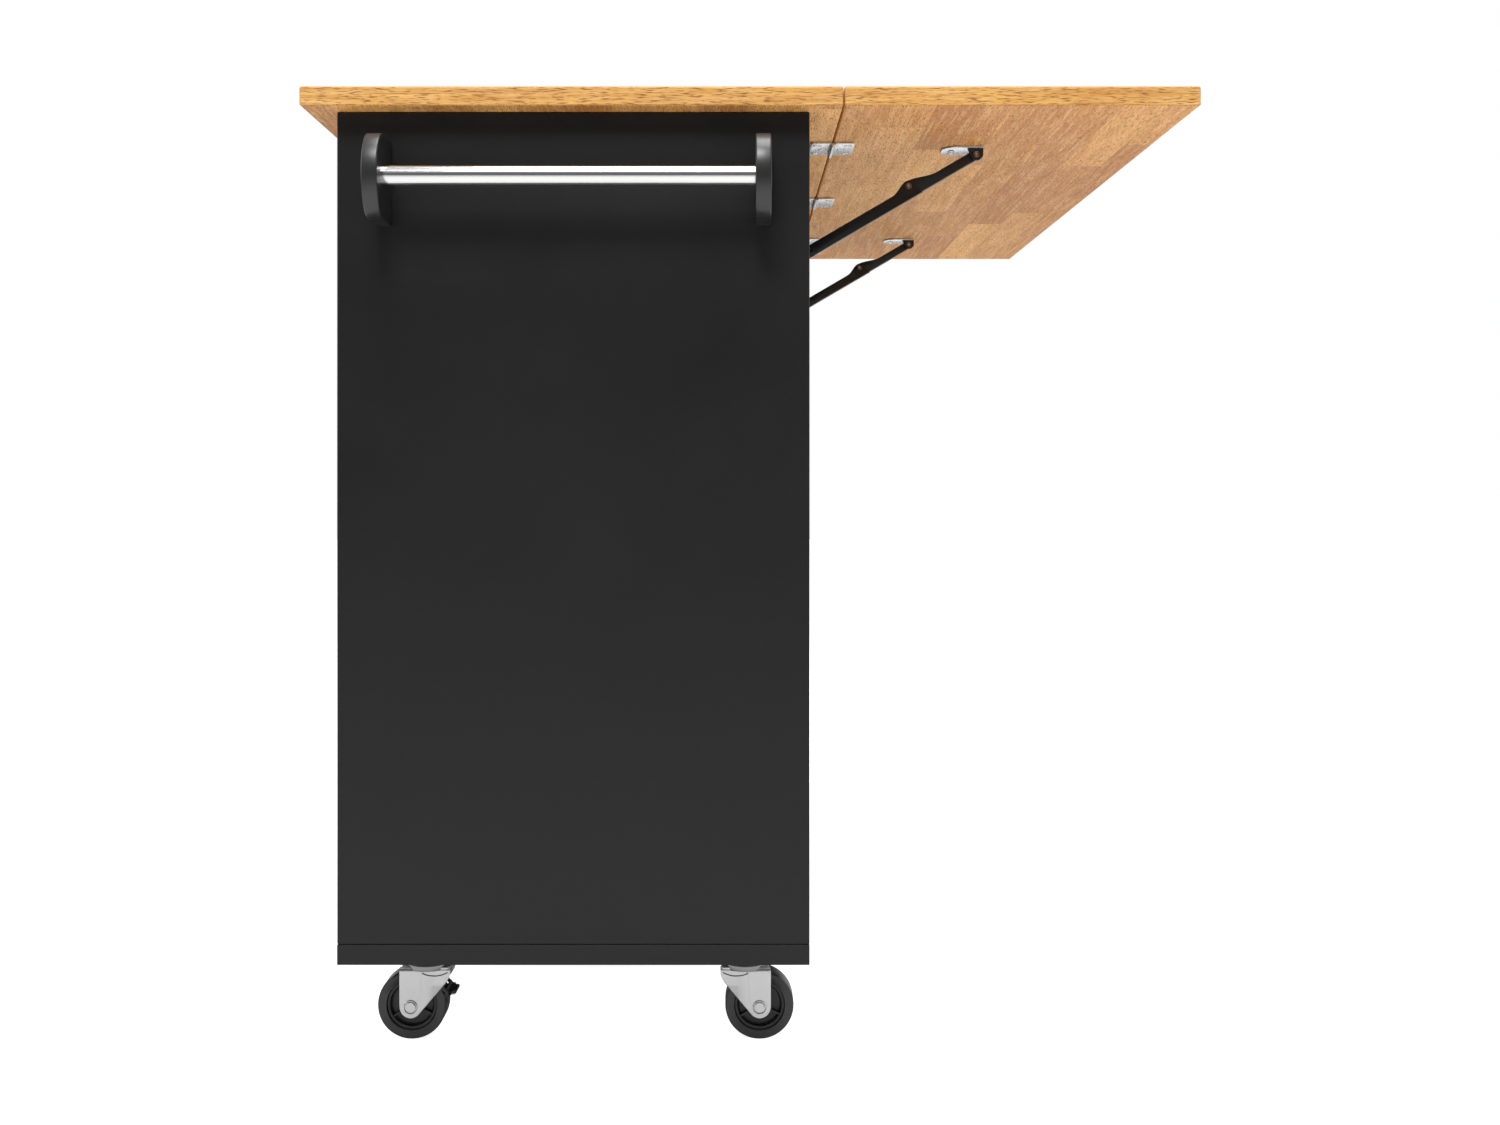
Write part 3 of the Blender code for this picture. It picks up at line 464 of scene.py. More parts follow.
def rounded(corners, radii, steps=6):
    """An outline whose corners are replaced by arcs that touch both sides."""
    corners = np.asarray(corners, float)
    radii = np.broadcast_to(radii, len(corners))
    points = []
    for k, radius in enumerate(radii):
        here = corners[k]
        back, on = corners[k - 1] - here, corners[(k + 1) % len(corners)] - here
        back, on = back / np.linalg.norm(back), on / np.linalg.norm(on)
        if radius <= 0:
            points.append(here[None, :])
            continue
        half = np.arccos(np.clip(back @ on, -1, 1)) / 2
        middle = here + (back + on) / np.linalg.norm(back + on) * radius / np.sin(half)
        start = here + back * radius / np.tan(half) - middle
        end = here + on * radius / np.tan(half) - middle
        angle = np.arctan2(start[1], start[0])
        sweep = (np.arctan2(end[1], end[0]) - angle + np.pi) % (2 * np.pi) - np.pi
        t = angle + sweep * np.linspace(0, 1, steps)
        points.append(middle + radius * np.stack([np.cos(t), np.sin(t)], axis=-1))
    return np.concatenate(points)


def inset(outline, amount):
    """The outline moved inwards along its corner normals, by the same amount all round."""
    back = outline - np.roll(outline, 1, axis=0)
    on = np.roll(outline, -1, axis=0) - outline
    normals = []
    for side in (back, on):
        side = side / np.maximum(np.linalg.norm(side, axis=1, keepdims=True), 1e-12)
        normals.append(np.stack([-side[:, 1], side[:, 0]], axis=-1))
    mean = normals[0] + normals[1]
    mean /= np.maximum((mean * normals[0]).sum(1, keepdims=True), 0.3)
    area = np.sum(outline[:, 0] * np.roll(outline[:, 1], -1) - outline[:, 1] * np.roll(outline[:, 0], -1))
    return outline + mean * amount * np.sign(area)


def plate(outline, low, high, edge=0.0003, axis="Z", steps=3):
    """An outline carried from low to high, its two arrises rounded by quarter circles."""
    t = np.linspace(0, np.pi / 2, steps)
    rings = [(edge * (1 - np.sin(a)), low + edge * (1 - np.cos(a))) for a in t]
    rings += [(edge * (1 - np.sin(a)), high - edge * (1 - np.cos(a))) for a in t[::-1]]
    levels = []
    for amount, height in rings:
        flat = inset(outline, amount)
        columns = {"X": (2, 0, 1), "Y": (0, 2, 1), "Z": (0, 1, 2)}[axis]
        levels.append(np.concatenate([flat, np.full((len(flat), 1), height)], axis=1)[:, columns])
    return skin(np.stack(levels))


nickel, tree, shader, coords = new_material("bright_nickel", Metallic=1.0)
marks = use_group(tree, marks_group, Vector=coords["Object"], Fineness=900.0).outputs
brushed = noise(tree, stretched(tree, coords["Object"], 160, 2600, 900), 1.0, 2.0)
tone = mix_colour(tree, marks["Cloud"], (0.74, 0.74, 0.73), (0.66, 0.66, 0.66))
tree.links.new(tone, shader.inputs["Base Color"])
tree.links.new(ranged(tree, brushed, 0.3, 0.7, 0.20, 0.34), shader.inputs["Roughness"])
bump(tree, shader, brushed, 0.00002, 0.5)

HINGE_CORNER = 0.003
HINGE_SCREW = 0.0034
fifths = np.linspace(0, 1, 6)
seam_pin = frame["joints"][0]["pos_m"]
for number in (1, 2, 3):
    for side, kind, slots, body in ((-1, "fixed", (0, 2, 4), "cabinet"), (1, "leaf", (1, 3), "leaf")):
        node = f"hinge_{kind}_{number}"
        low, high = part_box(node)
        pin_y, pin_z = seam_pin[1], seam_pin[2]
        thick_low, thick_high = high.z - 0.0020, high.z
        inner = pin_y + side * 0.0028
        outer = high.y if side > 0 else low.y
        corners = [(low.x, inner), (high.x, inner), (high.x, outer), (low.x, outer)]
        outline = rounded(corners, (0.0004, 0.0004, HINGE_CORNER, HINGE_CORNER))
        shells = [plate(outline, thick_low, thick_high)]
        edges = low.x + (high.x - low.x) * fifths
        for slot_number in slots:
            start, end = edges[slot_number] + 0.0002, edges[slot_number + 1] - 0.0002
            roll = [(0.0022, 0), (0.0026, 0.0004), (0.0026, end - start - 0.0004), (0.0022, end - start)]
            shells.append(turned(roll, (start, pin_y, pin_z), (1, 0, 0), 28))
            root = inner + side * 0.001
            tongue = [(start, pin_y), (end, pin_y), (end, root), (start, root)]
            shells.append(plate(rounded(tongue, 0), thick_low + 0.0004, thick_high - 0.0002, 0.0001))
        make_piece(node + "_plate", shells, nickel, body, (node,))
        middle_x, middle_y = (low.x + high.x) / 2, (inner + outer) / 2
        spots = [(middle_x - 0.019, middle_y + side * 0.003), (middle_x, middle_y - side * 0.003),
                 (middle_x + 0.019, middle_y + side * 0.003)]
        heads = [screw_head((x, y, thick_low - 0.0002), (0, 0, -1), HINGE_SCREW, 0.0003, 0.0011)
                 for x, y in spots]
        make_piece(f"hinge_{kind}_screws_{number}", heads, nickel, body)
        # Dark rings of black steel round the hinge screws: painted shade in the gaps round the heads.
        make_piece(f"hinge_{kind}_screw_seats_{number}",
                   [screw_shade_ring((x, y, thick_low), (0, 0, -1), HINGE_SCREW) for x, y in spots], black_steel,
                   body)
    node = f"hinge_pin_{number}"
    low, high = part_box(node)
    pin = [(0.0008, 0), (0.0012, 0.0004), (0.0012, high.x - low.x - 0.0004), (0.0008, high.x - low.x)]
    make_piece(node + "_turned", [turned(pin, (low.x, pin_y, pin_z), (1, 0, 0), 20)], nickel, "cabinet",
               (node,))
for end in ("towel_end", "plain_end"):
    for level_name in ("lower", "upper"):
        node = f"door_{end}_pin_{level_name}"
        low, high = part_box(node)
        tall = high.z - low.z
        centre = ((low.x + high.x) / 2, (low.y + high.y) / 2, low.z)
        pin = [(0.0019, 0), (0.0025, 0.0006), (0.0025, tall - 0.0006), (0.0019, tall)]
        make_piece(node + "_turned", [turned(pin, centre, (0, 0, 1), 24)], nickel, "cabinet",
                   (node,))

# ---------------------------------------------------------------------------------------------------
# Folding braces under the leaf.
# Two pressed steel arms meet at a knee on top of their line, coated matt black, with a light zinc strip along
# the lower edge as a painted highlight.
# The upper arm hangs from an ear on a D-shaped plate under the leaf, the lower one from the back panel.
JOINT_PLACES = {joint["name"]: np.array(joint["pos_m"]) for joint in frame["joints"] if "pos_m" in joint}
ARM_THICK = 0.0025
LAYER_GAP = 0.0003
KNEE_FROM_SEAM = np.array((0.0796, -0.0402))
KNEE_DROP = 0.0071
KNEE_RADIUS = 0.0056
HUMP_RUNS = {"lower": 0.020, "upper": 0.033}


def arm_outline(start, knee, half, run_on, hump_run):
    """The side view of an arm. Its centre line runs from start, a knee drop below the knee. Its top edge
    is half + rise * (3 q^2 - 2 q^3), where q goes from 0 to 1 over the run before the knee."""
    to_knee = knee - start
    distance = np.linalg.norm(to_knee)
    tilt = np.arctan2(to_knee[1], to_knee[0])
    up = np.sign(to_knee[0])
    line = tilt - up * np.arcsin(KNEE_DROP / distance)
    e = np.array((np.cos(line), np.sin(line)))
    n = np.array((-e[1], e[0])) * up
    u_knee = np.sqrt(distance ** 2 - KNEE_DROP ** 2)
    a = np.linspace(1.5 * np.pi, 0.5 * np.pi, 15)
    heel = np.stack([half * np.cos(a), half * np.sin(a)], axis=-1)
    q = np.linspace(0, 1, 16)
    rise = KNEE_DROP + KNEE_RADIUS - half
    slope = np.stack([u_knee - hump_run * (1 - q), half + rise * (3 * q ** 2 - 2 * q ** 3)], axis=-1)
    a = np.linspace(0.5 * np.pi, -0.12 * np.pi, 12)[1:]
    nose = np.stack([u_knee + KNEE_RADIUS * np.cos(a), KNEE_DROP + KNEE_RADIUS * np.sin(a)], axis=-1)
    toe = np.array([(u_knee + run_on, -half)])
    local = np.concatenate([heel, slope, nose, toe])
    return start + local[:, :1] * e + local[:, 1:] * n, e, n, u_knee + run_on


rivet_metal, tree, shader, coords = new_material("aged_brass_rivet", Metallic=1.0)
marks = use_group(tree, marks_group, Vector=coords["Object"], Fineness=1500.0).outputs
tone = mix_colour(tree, marks["Cloud"], (0.13, 0.085, 0.055), (0.24, 0.17, 0.115))
tree.links.new(tone, shader.inputs["Base Color"])
tree.links.new(ranged(tree, marks["Grain"], 0.3, 0.7, 0.26, 0.42), shader.inputs["Roughness"])
bump(tree, shader, marks["Grain"], 0.00003, 0.5)

zinc, tree, shader, coords = new_material("zinc_plated_steel", Metallic=1.0)
marks = use_group(tree, marks_group, Vector=coords["Object"], Fineness=1100.0).outputs
tone = mix_colour(tree, marks["Cloud"], (0.55, 0.55, 0.55), (0.48, 0.48, 0.485))
tree.links.new(tone, shader.inputs["Base Color"])
tree.links.new(ranged(tree, marks["Cloud"], 0.3, 0.7, 0.29, 0.38), shader.inputs["Roughness"])
bump(tree, shader, marks["Grain"], 0.00002, 0.5)


def rivet_rim(centre, direction, radius=0.0034):
    """A rolled tubular rivet: its rim is a half round carried round the axis, with a hole in the middle."""
    a = np.linspace(0, np.pi, 9)
    middle, half = radius * 0.72, radius * 0.28
    arc = np.stack([middle + half * np.cos(a), 0.0012 * np.sin(a)], axis=-1)
    return turned(np.concatenate([arc, [(middle - half, -0.0008), (middle + half, -0.0008)]]), centre,
                  direction, 36, loop=True)


def rivet_core(centre, direction, radius=0.0034):
    """The flat bottom seen in a rivet's hole: a low disc with a rounded arris."""
    return turned([(radius * 0.44, -0.0006), (radius * 0.44, 0.0001), (radius * 0.36, 0.0004)], centre,
                  direction, 28)


for end in ("towel_end", "plain_end"):
    wall, ear = JOINT_PLACES[f"lower_arm_turn_{end}"], JOINT_PLACES[f"upper_arm_turn_{end}"]
    front = wall[0]
    near, far = (front - ARM_THICK, front), (front - 2 * ARM_THICK - LAYER_GAP, front - ARM_THICK - LAYER_GAP)
    knee = np.array((seam_pin[1], UNDERSIDE)) + KNEE_FROM_SEAM
    arms = (("lower", wall[1:], 0.0061, near, 0.0095), ("upper", ear[1:], 0.0052, far, 0.0050))
    for name, start, half, (x_low, x_high), run_on in arms:
        outline, e, n, reach = arm_outline(start, knee, half, run_on, HUMP_RUNS[name])
        node, body = f"brace_{name}_arm_{end}", f"{name}_arm_{end}"
        make_piece(node + "_pressing", [plate(outline, x_low, x_high, 0.0004, "X")], black_steel, body,
                   (node,))
        # A strip of light zinc along the arm's lower edge: a painted highlight on the edge.
        lip = [start + e * u + n * v for u, v in ((0.001, -half - 0.0003), (reach - 0.0006, -half - 0.0003),
                                                  (reach - 0.0006, -half + 0.0008), (0.001, -half + 0.0008))]
        make_piece(node + "_bare_edge", [plate(np.array(lip), x_low + 0.0002, x_high + 0.00012, 0.0001, "X")],
                   zinc, body)
    make_piece(f"knee_rivet_rim_{end}", [rivet_rim((front, *knee), (1, 0, 0)),
                                         rivet_rim((far[0], *knee), (-1, 0, 0))], rivet_metal,
               f"lower_arm_{end}")
    make_piece(f"knee_rivet_core_{end}", [rivet_core((front, *knee), (1, 0, 0))], zinc,
               f"lower_arm_{end}")

    node = f"brace_ear_{end}"
    low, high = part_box(node)
    roof, plate_z = high.z, high.z - 0.0015
    d_end = low.y - 0.004
    plate_end = ear[1] + 0.0060
    corners = [(low.x, d_end), (high.x, d_end), (high.x, plate_end), (low.x, plate_end)]
    d_plate = rounded(corners, (0.0150, 0.0150, 0.0015, 0.0015), 12)
    middle_x = (low.x + high.x) / 2
    slot_corners = [(middle_x - 0.004, d_end + 0.007), (middle_x + 0.009, d_end + 0.007),
                    (middle_x + 0.009, d_end + 0.0125), (middle_x - 0.004, d_end + 0.0125)]
    make_piece(node + "_plate", [plate(d_plate, plate_z, roof, 0.0003)], nickel, "leaf",
               (node,))
    # The slot is a thin dark plate laid on the plate's face: painted shade where the slot opens.
    make_piece(node + "_slot", [plate(rounded(slot_corners, 0.0026), plate_z - 0.0001, plate_z + 0.0004,
                                      0.00005)], black_steel, "leaf")
    spots = [(middle_x - 0.009, d_end + 0.011), (middle_x + 0.0005, d_end + 0.0097),
             (middle_x - 0.010, plate_end - 0.008)]
    make_piece(node + "_screws", [screw_head((x, y, plate_z), (0, 0, -1), 0.0031, 0.0009) for x, y in spots],
               nickel, "leaf")
    # Dark rings round the plate screws: painted shade in the gaps round the heads.
    make_piece(node + "_screw_seats", [screw_shade_ring((x, y, plate_z), (0, 0, -1), 0.0031) for x, y in spots],
               black_steel, "leaf")
    y, z = ear[1:]
    tab = [(y - 0.0095, roof - 0.0003), (y + 0.0072, roof - 0.0003), (y + 0.0072, z - 0.0020),
           (y + 0.0030, z - 0.0062), (y - 0.0030, z - 0.0062), (y - 0.0062, z - 0.0010)]
    tab = rounded(tab, (0.0005, 0.0008, 0.0020, 0.0030, 0.0030, 0.0030))
    make_piece(node + "_tab", [plate(tab, *near, 0.0004, "X")], black_steel, "leaf")
    make_piece(f"ear_rivet_rim_{end}", [rivet_rim((front, y, z), (1, 0, 0)),
                                        rivet_rim((far[0], y, z), (-1, 0, 0))], rivet_metal, "leaf")
    make_piece(f"ear_rivet_core_{end}", [rivet_core((front, y, z), (1, 0, 0))], zinc, "leaf")

    node = f"brace_wall_bracket_{end}"
    low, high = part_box(node)
    middle_x = far[0]
    foot = rounded([(middle_x - 0.013, low.z), (middle_x + 0.013, low.z), (middle_x + 0.013, high.z),
                    (middle_x - 0.013, high.z)], 0.004)
    y, z = wall[1:]
    lug = rounded([(low.y + 0.0005, z - 0.010), (y + 0.001, z - 0.0062), (y + 0.0062, z - 0.001),
                   (y + 0.0062, z + 0.001), (y + 0.001, z + 0.0062), (low.y + 0.0005, z + 0.010)],
                  (0.0004, 0.003, 0.003, 0.003, 0.003, 0.0004))
    make_piece(node + "_pressing", [plate(foot, low.y, low.y + 0.0018, 0.0004, "Y"),
                                    plate(lug, *far, 0.0004, "X")], black_steel, "cabinet",
               (node,))
    spots = [(middle_x, z + 0.0165), (middle_x, z - 0.0165)]
    heads = [screw_head((x, low.y + 0.0018, v), (0, 1, 0), 0.0036, 0.0011) for x, v in spots]
    make_piece(node + "_screws", heads, nickel, "cabinet")
    make_piece(f"wall_rivet_{end}", [rivet_rim((front + LAYER_GAP, y, z), (1, 0, 0)),
                                     rivet_core((front + LAYER_GAP, y, z), (1, 0, 0)),
                                     rivet_rim((far[0], y, z), (-1, 0, 0))], black_steel, "cabinet")

# ---------------------------------------------------------------------------------------------------
# Towel bar.
# A bright drawn steel tube held between two D-shaped die-cast brackets, which are coated satin black
# and screwed to the end panel from inside.
BRACKET_FLAT = 0.038
bar_low, bar_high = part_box("towel_bar")
cast_black, tree, shader, coords = new_material("satin_black_casting", Specular_IOR_Level=0.6)
marks = use_group(tree, marks_group, Vector=coords["Object"], Fineness=1900.0).outputs
tone = mix_colour(tree, marks["Cloud"], (0.011, 0.011, 0.0115), (0.019, 0.019, 0.0195))
tree.links.new(tone, shader.inputs["Base Color"])
tree.links.new(ranged(tree, marks["Grain"], 0.3, 0.7, 0.27, 0.36), shader.inputs["Roughness"])
bump(tree, shader, marks["Grain"], 0.00003, 0.4)
for side in ("front", "back"):
    node = f"towel_bracket_{side}"
    low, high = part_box(node)
    middle, half = (low.z + high.z) / 2, (high.z - low.z) / 2
    a = np.linspace(-np.pi / 2, np.pi / 2, 41)
    # The nose is half an ellipse, x = flat + nose cos a and z = half sin a, with its ends squared a little.
    nose = np.stack([low.x + BRACKET_FLAT + (high.x - low.x - BRACKET_FLAT) * np.cos(a),
                     middle + half * np.sin(a)], axis=-1)
    outline = np.concatenate([[(low.x, low.z)], nose, [(low.x, high.z)]])
    make_piece(node + "_casting", [plate(outline, low.y, high.y, 0.0016, "Y", 6)], cast_black, "cabinet",
               (node,), sharp=0.9)

drawn_steel, tree, shader, coords = new_material("drawn_steel_tube", Metallic=1.0)
draw_lines = noise(tree, stretched(tree, coords["Object"], 2400, 9, 2400), 1.0, 2.0)
marks = use_group(tree, marks_group, Vector=coords["Object"], Fineness=700.0).outputs
tone = mix_colour(tree, marks["Cloud"], (0.74, 0.74, 0.735), (0.66, 0.66, 0.655))
tree.links.new(tone, shader.inputs["Base Color"])
tree.links.new(ranged(tree, draw_lines, 0.3, 0.7, 0.11, 0.17), shader.inputs["Roughness"])
bump(tree, shader, draw_lines, 0.000002, 0.3)
radius = (bar_high.z - bar_low.z) / 2
length = bar_high.y - bar_low.y
tube = [(radius - 0.002, 0.0), (radius - 0.0004, 0.0), (radius, 0.0004), (radius, length / 2),
        (radius, length - 0.0004), (radius - 0.0004, length), (radius - 0.002, length)]
make_piece("towel_bar_tube", [turned(tube, ((bar_low.x + bar_high.x) / 2, bar_low.y,
                                            (bar_low.z + bar_high.z) / 2), (0, 1, 0), 96)],
           drawn_steel, "cabinet", ("towel_bar",))

# ---------------------------------------------------------------------------------------------------
# Swivel casters.
# A zinc-plated top plate with a ball race, a pressed fork with creased gussets, and a moulded wheel:
# a ribbed nylon core in a hard rubber tyre. The two front casters have a black brake pedal.
WHEEL_RADIUS = 0.033
WHEEL_HALF = 0.0135
AXLE_TRAIL = 0.014
LEG_HALF = 0.0108
LEG_INNER = 0.0170
LEG_THICK = 0.0025
LEG_SHEET = 0.0019
LEG_TOP = 0.0705
GUSSET = np.array([(-0.0057, 0.0261), (0.0196, 0.0555), (0.0226, 0.0605), (0.0236, 0.0650),
                   (0.0236, LEG_TOP)])
GUSSET_BEND = 0.0024
GUSSET_RUN = 0.010
CREASE = -0.0028


def fork_leg(place, facing, side):
    """One leg: at each level a strip from its left edge to its right edge. The lower end is a half circle
    about the axle. Past the crease the strip bends in by depth * (1 - cos), so that the gusset is curved."""
    a = np.linspace(-np.pi / 2 + 0.02, 0, 24)
    levels = np.concatenate([WHEEL_RADIUS + LEG_HALF * np.sin(a), np.linspace(WHEEL_RADIUS, LEG_TOP, 44)[1:]])
    round_half = np.sqrt(np.clip(LEG_HALF ** 2 - (levels - WHEEL_RADIUS) ** 2, 0, None))
    round_half = np.where(levels >= WHEEL_RADIUS, LEG_HALF, round_half)
    left = -AXLE_TRAIL - round_half
    diagonal = np.interp(levels, GUSSET[:, 1], GUSSET[:, 0])
    right = np.where(levels < GUSSET[0, 1], -AXLE_TRAIL + round_half, diagonal)
    share = np.linspace(0, 1, 44)[None, :]
    s = left[:, None] + (right - left)[:, None] * share
    past = np.clip((s - CREASE) / GUSSET_RUN, 0, 1)
    rise = np.clip((levels[:, None] - WHEEL_RADIUS) / 0.020, 0, 1)
    bend = -GUSSET_BEND * (1 - np.cos(past * np.pi / 2)) * rise
    groove = -0.0008 * np.exp(-((s - CREASE) / 0.0009) ** 2) * rise
    lean_in = -0.0018 * np.clip((levels[:, None] - LEG_TOP + 0.0035) / 0.0035, 0, 1) ** 2
    outer = LEG_INNER + LEG_THICK + bend + groove + lean_in
    edge = 0.0006 * (1 - np.sqrt(np.clip(1 - np.clip(1 - np.minimum(s - left[:, None], right[:, None] - s)
                                                     / 0.0006, 0, 1) ** 2, 0, 1)))
    outer_face = np.stack([outer - edge, s, levels[:, None] + 0 * s], axis=-1)
    inner_face = np.stack([outer - LEG_SHEET, s, levels[:, None] + 0 * s], axis=-1)[:, ::-1]
    points = np.concatenate([outer_face, inner_face], axis=1)
    points = points * np.array((side, facing, 1.0)) + np.array((place[0], place[1], 0.0))
    return skin(points)


def seam_shade_strip(place, facing, side):
    """Painted shade in the open seam under the crown: a thin dark strip from the crease to the gusset's
    edge, along z = top - sag * sin(pi * t), where t runs from 0 to 1."""
    t = np.linspace(0, 1, 40)
    s = CREASE + t * (0.0212 - CREASE)
    z = LEG_TOP - 0.0052 - 0.0032 * np.sin(np.pi * t)
    past = np.clip((s - CREASE) / GUSSET_RUN, 0, 1)
    outer = LEG_INNER + LEG_THICK - GUSSET_BEND * (1 - np.cos(past * np.pi / 2))
    ring = [(0.00025, -0.0005), (0.00025, 0.0005), (-0.0006, 0.0005), (-0.0006, -0.0005)]
    points = np.stack([np.stack([outer + u, s, z + v], axis=-1) for u, v in ring], axis=1)
    return skin(points * np.array((side, facing, 1.0)) + np.array((place[0], place[1], 0.0)))


race_steel, tree, shader, coords = new_material("oiled_race_steel", Metallic=1.0)
marks = use_group(tree, marks_group, Vector=coords["Object"], Fineness=800.0).outputs
tone = mix_colour(tree, marks["Cloud"], (0.30, 0.30, 0.30), (0.16, 0.16, 0.165))
tree.links.new(tone, shader.inputs["Base Color"])
tree.links.new(ranged(tree, marks["Grain"], 0.3, 0.7, 0.14, 0.24), shader.inputs["Roughness"])
bump(tree, shader, marks["Grain"], 0.00002, 0.5)

tyre_rubber, tree, shader, coords = new_material("hard_black_rubber", Specular_IOR_Level=0.5)
marks = use_group(tree, marks_group, Vector=coords["Object"], Fineness=1500.0).outputs
tone = mix_colour(tree, marks["Cloud"], (0.016, 0.016, 0.016), (0.024, 0.024, 0.024))
tone = mix_colour(tree, calc(tree, "MULTIPLY", marks["Specks"], 0.2), tone, (0.10, 0.10, 0.095))
tree.links.new(tone, shader.inputs["Base Color"])
tree.links.new(ranged(tree, marks["Cloud"], 0.3, 0.7, 0.24, 0.34), shader.inputs["Roughness"])
bump(tree, shader, marks["Grain"], 0.00003, 0.5)

core_nylon, tree, shader, coords = new_material("moulded_black_nylon", Specular_IOR_Level=0.45)
marks = use_group(tree, marks_group, Vector=coords["Object"], Fineness=2300.0).outputs
tone = mix_colour(tree, marks["Cloud"], (0.010, 0.010, 0.0101), (0.017, 0.017, 0.0171))
tree.links.new(tone, shader.inputs["Base Color"])
tree.links.new(ranged(tree, marks["Grain"], 0.3, 0.7, 0.38, 0.50), shader.inputs["Roughness"])
bump(tree, shader, marks["Grain"], 0.00004, 0.6)

a = np.linspace(0, np.pi / 2, 7)
shoulder = np.stack([WHEEL_RADIUS - 0.0016 * (1 - np.cos(a)), WHEEL_HALF - 0.0024 * (1 - np.sin(a))], axis=-1)
half_tyre = [*shoulder.tolist(), (0.0252, WHEEL_HALF), (0.0249, WHEEL_HALF + 0.0002), (0.0245, WHEEL_HALF),
             (0.0240, 0.0122)]
tyre_profile = half_tyre + [(r, -h) for r, h in reversed(half_tyre)]
half_core = [(0.0045, 0.0125), (0.0074, 0.0125), (0.0080, 0.0119), (0.0088, 0.0072), (0.0100, 0.0060),
             (0.0196, 0.0060), (0.0206, 0.0068), (0.0212, 0.0108), (0.0217, 0.0112), (0.0236, 0.0112),
             (0.0239, 0.0105)]
core_profile = half_core + [(r, -h) for r, h in reversed(half_core)]
BUTTON = [(0.0020, 0.0019), (0.0045, 0.0019), (0.0049, 0.0016), (0.0050, 0.0002), (0.0057, 0.0002),
          (0.0060, 0.0012), (0.0063, 0.0013), (0.0066, 0.0009), (0.0066, -0.0003)]
RACE = [(0.0052, 0.0767), (0.0185, 0.0767), (0.0212, 0.0760), (0.0227, 0.0740), (0.0230, 0.0715),
        (0.0229, 0.0690), (0.0220, 0.0674), (0.0205, 0.0671), (0.0190, 0.0678), (0.0150, 0.0692),
        (0.0052, 0.0692)]
PEDAL_SIDE = [(0.0212, 0.0428), (0.0276, 0.0428), (0.0285, 0.0440), (0.0280, 0.0462), (0.0212, 0.0465)]
PEDAL_BAR = [(0.0211, 0.0425), (0.0241, 0.0425), (0.0241, 0.0465), (0.0211, 0.0465)]
PEDAL_PAD_HALF = 0.0103
INSERT_HALF = 0.0104
TREAD_HALF = 0.0005
TREAD_RUN = (0.0215, 0.0272)
RIB_RADII = (0.0080, 0.0213)
RIB_DEPTHS = (0.005, 0.0104)
PLATE_SCREW_INSET = 0.008
PEDAL_HALF = 0.0149
PEDAL_ARM_THICK = 0.0012
PEDAL_ARM = [(0.0022, 0.0590), (0.0188, 0.0446), (0.0205, 0.0425), (0.0241, 0.0425), (0.0241, 0.0464),
             (0.0212, 0.0466), (0.0180, 0.0500), (0.0090, 0.0632), (0.0040, 0.0640)]
PEDAL_WEB = [(0.0212, 0.0450), (0.0212, 0.0466), (0.0196, 0.0492), (0.0182, 0.0492), (0.0194, 0.0466)]

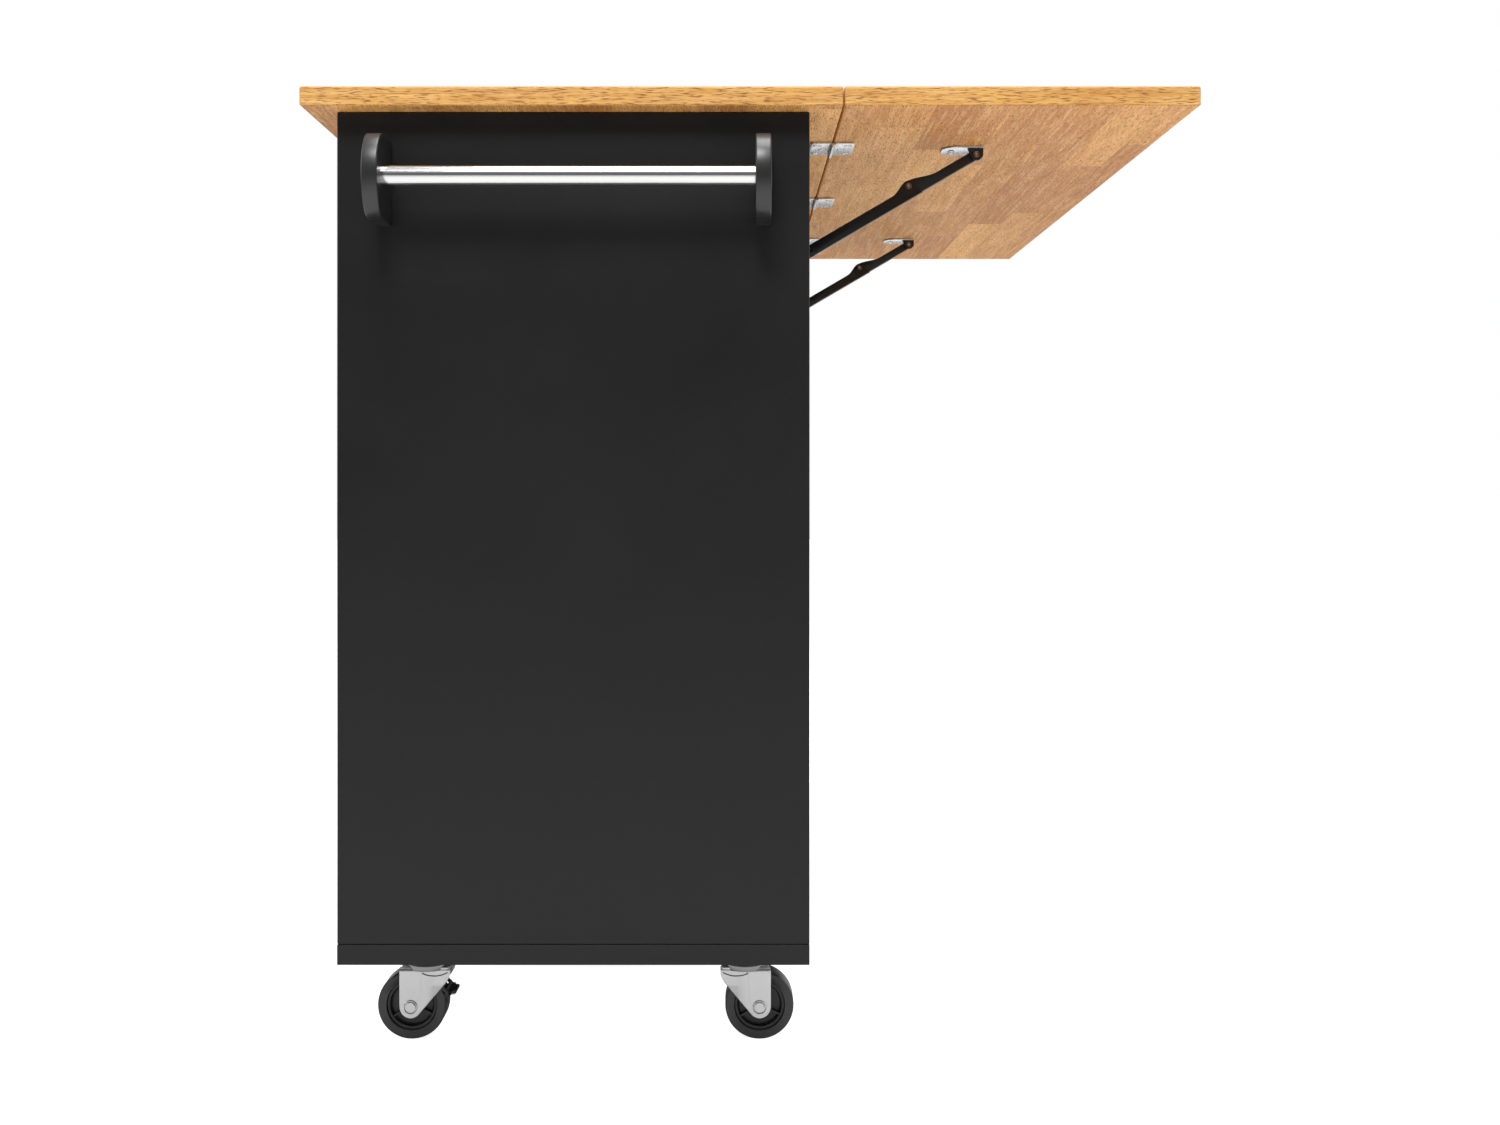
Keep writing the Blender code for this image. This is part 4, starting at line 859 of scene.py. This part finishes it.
for corner in ("front_towel", "back_towel", "front_plain", "back_plain"):
    swivel, hub = JOINT_PLACES[f"caster_swivel_{corner}"], JOINT_PLACES[f"wheel_spin_{corner}"]
    facing = np.sign(swivel[1] - hub[1])
    x, y = swivel[:2]
    node = f"caster_plate_{corner}"
    low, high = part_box(node)
    outline = rounded([(low.x, low.y), (high.x, low.y), (high.x, high.y), (low.x, high.y)], 0.006)
    cup = [(0.0040, 0.0772), (0.0188, 0.0772), (0.0202, 0.0778), (0.0204, 0.0790), (0.0192, 0.0810),
           (0.0180, 0.0824)]
    pin = [(0.0030, 0.0652), (0.0058, 0.0654), (0.0070, 0.0662), (0.0070, 0.0667), (0.0050, 0.0667),
           (0.0050, 0.0810)]
    make_piece(node + "_pressing", [plate(outline, high.z - 0.0025, high.z, 0.0005),
                                    turned(cup, (x, y, 0), (0, 0, 1), 64),
                                    turned(pin, (x, y, 0), (0, 0, 1), 40)], zinc, "cabinet",
               (node,))
    columns = (low.x + PLATE_SCREW_INSET, high.x - PLATE_SCREW_INSET)
    rows = (low.y + PLATE_SCREW_INSET, high.y - PLATE_SCREW_INSET)
    spots = [(u, v) for u in columns for v in rows]
    make_piece(node + "_screws", [screw_head((u, v, high.z - 0.0025), (0, 0, -1), 0.0043, 0.0018, 0.0012)
                                  for u, v in spots], nickel, "cabinet")

    node = f"caster_fork_{corner}"
    crown = rounded([(x - LEG_INNER - 0.0012, y - facing * (AXLE_TRAIL + 0.0095)),
                     (x + LEG_INNER + 0.0012, y - facing * (AXLE_TRAIL + 0.0095)),
                     (x + LEG_INNER + 0.0005, y + facing * 0.0228),
                     (x - LEG_INNER - 0.0005, y + facing * 0.0228)], 0.0030)
    make_piece(node + "_pressing", [fork_leg(swivel, facing, -1), fork_leg(swivel, facing, 1),
                                    plate(crown, 0.0682, LEG_TOP + 0.0003, 0.0008)], zinc,
               f"fork_{corner}", (node,))
    # Thin black strips along the crown's seam: painted shade where the crown meets the gussets.
    make_piece(f"caster_fork_seam_shade_{corner}", [seam_shade_strip(swivel, facing, -1), seam_shade_strip(swivel, facing, 1)],
               black_steel, f"fork_{corner}")
    make_piece(f"caster_race_{corner}", [turned(RACE, (x, y, 0), (0, 0, 1), 72, loop=True)], race_steel,
               f"fork_{corner}")

    node = f"caster_axle_{corner}"
    outside = LEG_INNER + LEG_THICK
    shaft = [(0.0032, -outside), (0.0038, -outside), (0.0038, outside), (0.0032, outside)]
    make_piece(node + "_turned", [turned(BUTTON, (x + outside, *hub[1:]), (1, 0, 0), 56),
                                  turned(BUTTON, (x - outside, *hub[1:]), (-1, 0, 0), 56),
                                  turned(shaft, hub, (1, 0, 0), 28)], zinc, f"fork_{corner}",
               (node,))

    node = f"caster_wheel_{corner}"
    make_piece(node + "_tyre", [turned(tyre_profile, hub, (1, 0, 0), 112, loop=True)], tyre_rubber,
               f"wheel_{corner}", (node,))
    shells = [turned(core_profile, hub, (1, 0, 0), 80, loop=True)]
    for angle in np.radians((-27, 93, 213)):
        out = np.array((np.cos(angle), np.sin(angle)))
        cross = np.array((-out[1], out[0])) * 0.0009
        start, stop = (out * radius for radius in RIB_RADII)
        rib = np.array([start + cross, stop + cross, stop - cross, start - cross])
        spans = ((RIB_DEPTHS[0] + x, RIB_DEPTHS[1] + x), (x - RIB_DEPTHS[1], x - RIB_DEPTHS[0]))
        shells += [plate(rib + hub[1:], *span, 0.0002, "X") for span in spans]
    make_piece(node + "_core", shells, core_nylon, f"wheel_{corner}")

    if f"brake_press_{corner}" in JOINT_PLACES:
        node = f"brake_pedal_{corner}"
        pivot = JOINT_PLACES[f"brake_press_{corner}"]
        side_view = np.array(PEDAL_SIDE) * (facing, 1) + (y, 0)
        cross_bar = np.array(PEDAL_BAR) * (facing, 1) + (y, 0)
        web = np.array(PEDAL_WEB) * (facing, 1) + (y, 0)
        arm = rounded(np.array(PEDAL_ARM) * (facing, 1) + (y, 0), 0.0018)
        pins = []
        shells = [plate(rounded(side_view, 0.0006), x - PEDAL_PAD_HALF, x + PEDAL_PAD_HALF, 0.0005, "X", 4),
                  plate(rounded(cross_bar, 0.0008), x - PEDAL_HALF, x + PEDAL_HALF, 0.0005, "X"),
                  plate(web, x - PEDAL_HALF + 0.0004, x + PEDAL_HALF - 0.0004, 0.0003, "X")]
        for side in (-1, 1):
            span = sorted((x + side * (PEDAL_HALF - PEDAL_ARM_THICK), x + side * PEDAL_HALF))
            shells.append(plate(arm, *span, 0.0004, "X"))
            boss = [(0.0014, -0.0006), (0.0022, -0.0006), (0.0022, 0.0011), (0.0014, 0.0013)]
            pins.append(turned(boss, (x + side * PEDAL_HALF, *pivot[1:]), (side, 0, 0), 24))
        treads = []
        near, far = y + facing * TREAD_RUN[0], y + facing * TREAD_RUN[1]
        for middle in x + np.linspace(-0.0085, 0.0085, 7):
            left, right = middle - TREAD_HALF, middle + TREAD_HALF
            ridge = np.array([(left, near), (right, near), (right, far), (left, far)])
            treads.append(plate(ridge, 0.0458, 0.0467, 0.0003))
        make_piece(node + "_moulding", shells + treads, core_nylon, f"pedal_{corner}",
                   (node,))
        strip = [(y + facing * 0.0213, 0.0418), (y + facing * 0.0268, 0.0419), (y + facing * 0.0275, 0.0430),
                 (y + facing * 0.0213, 0.0430)]
        insert = plate(np.array(strip), x - INSERT_HALF, x + INSERT_HALF, 0.0002, "X")
        make_piece(node + "_steel_insert", [insert, *pins], zinc, f"pedal_{corner}")
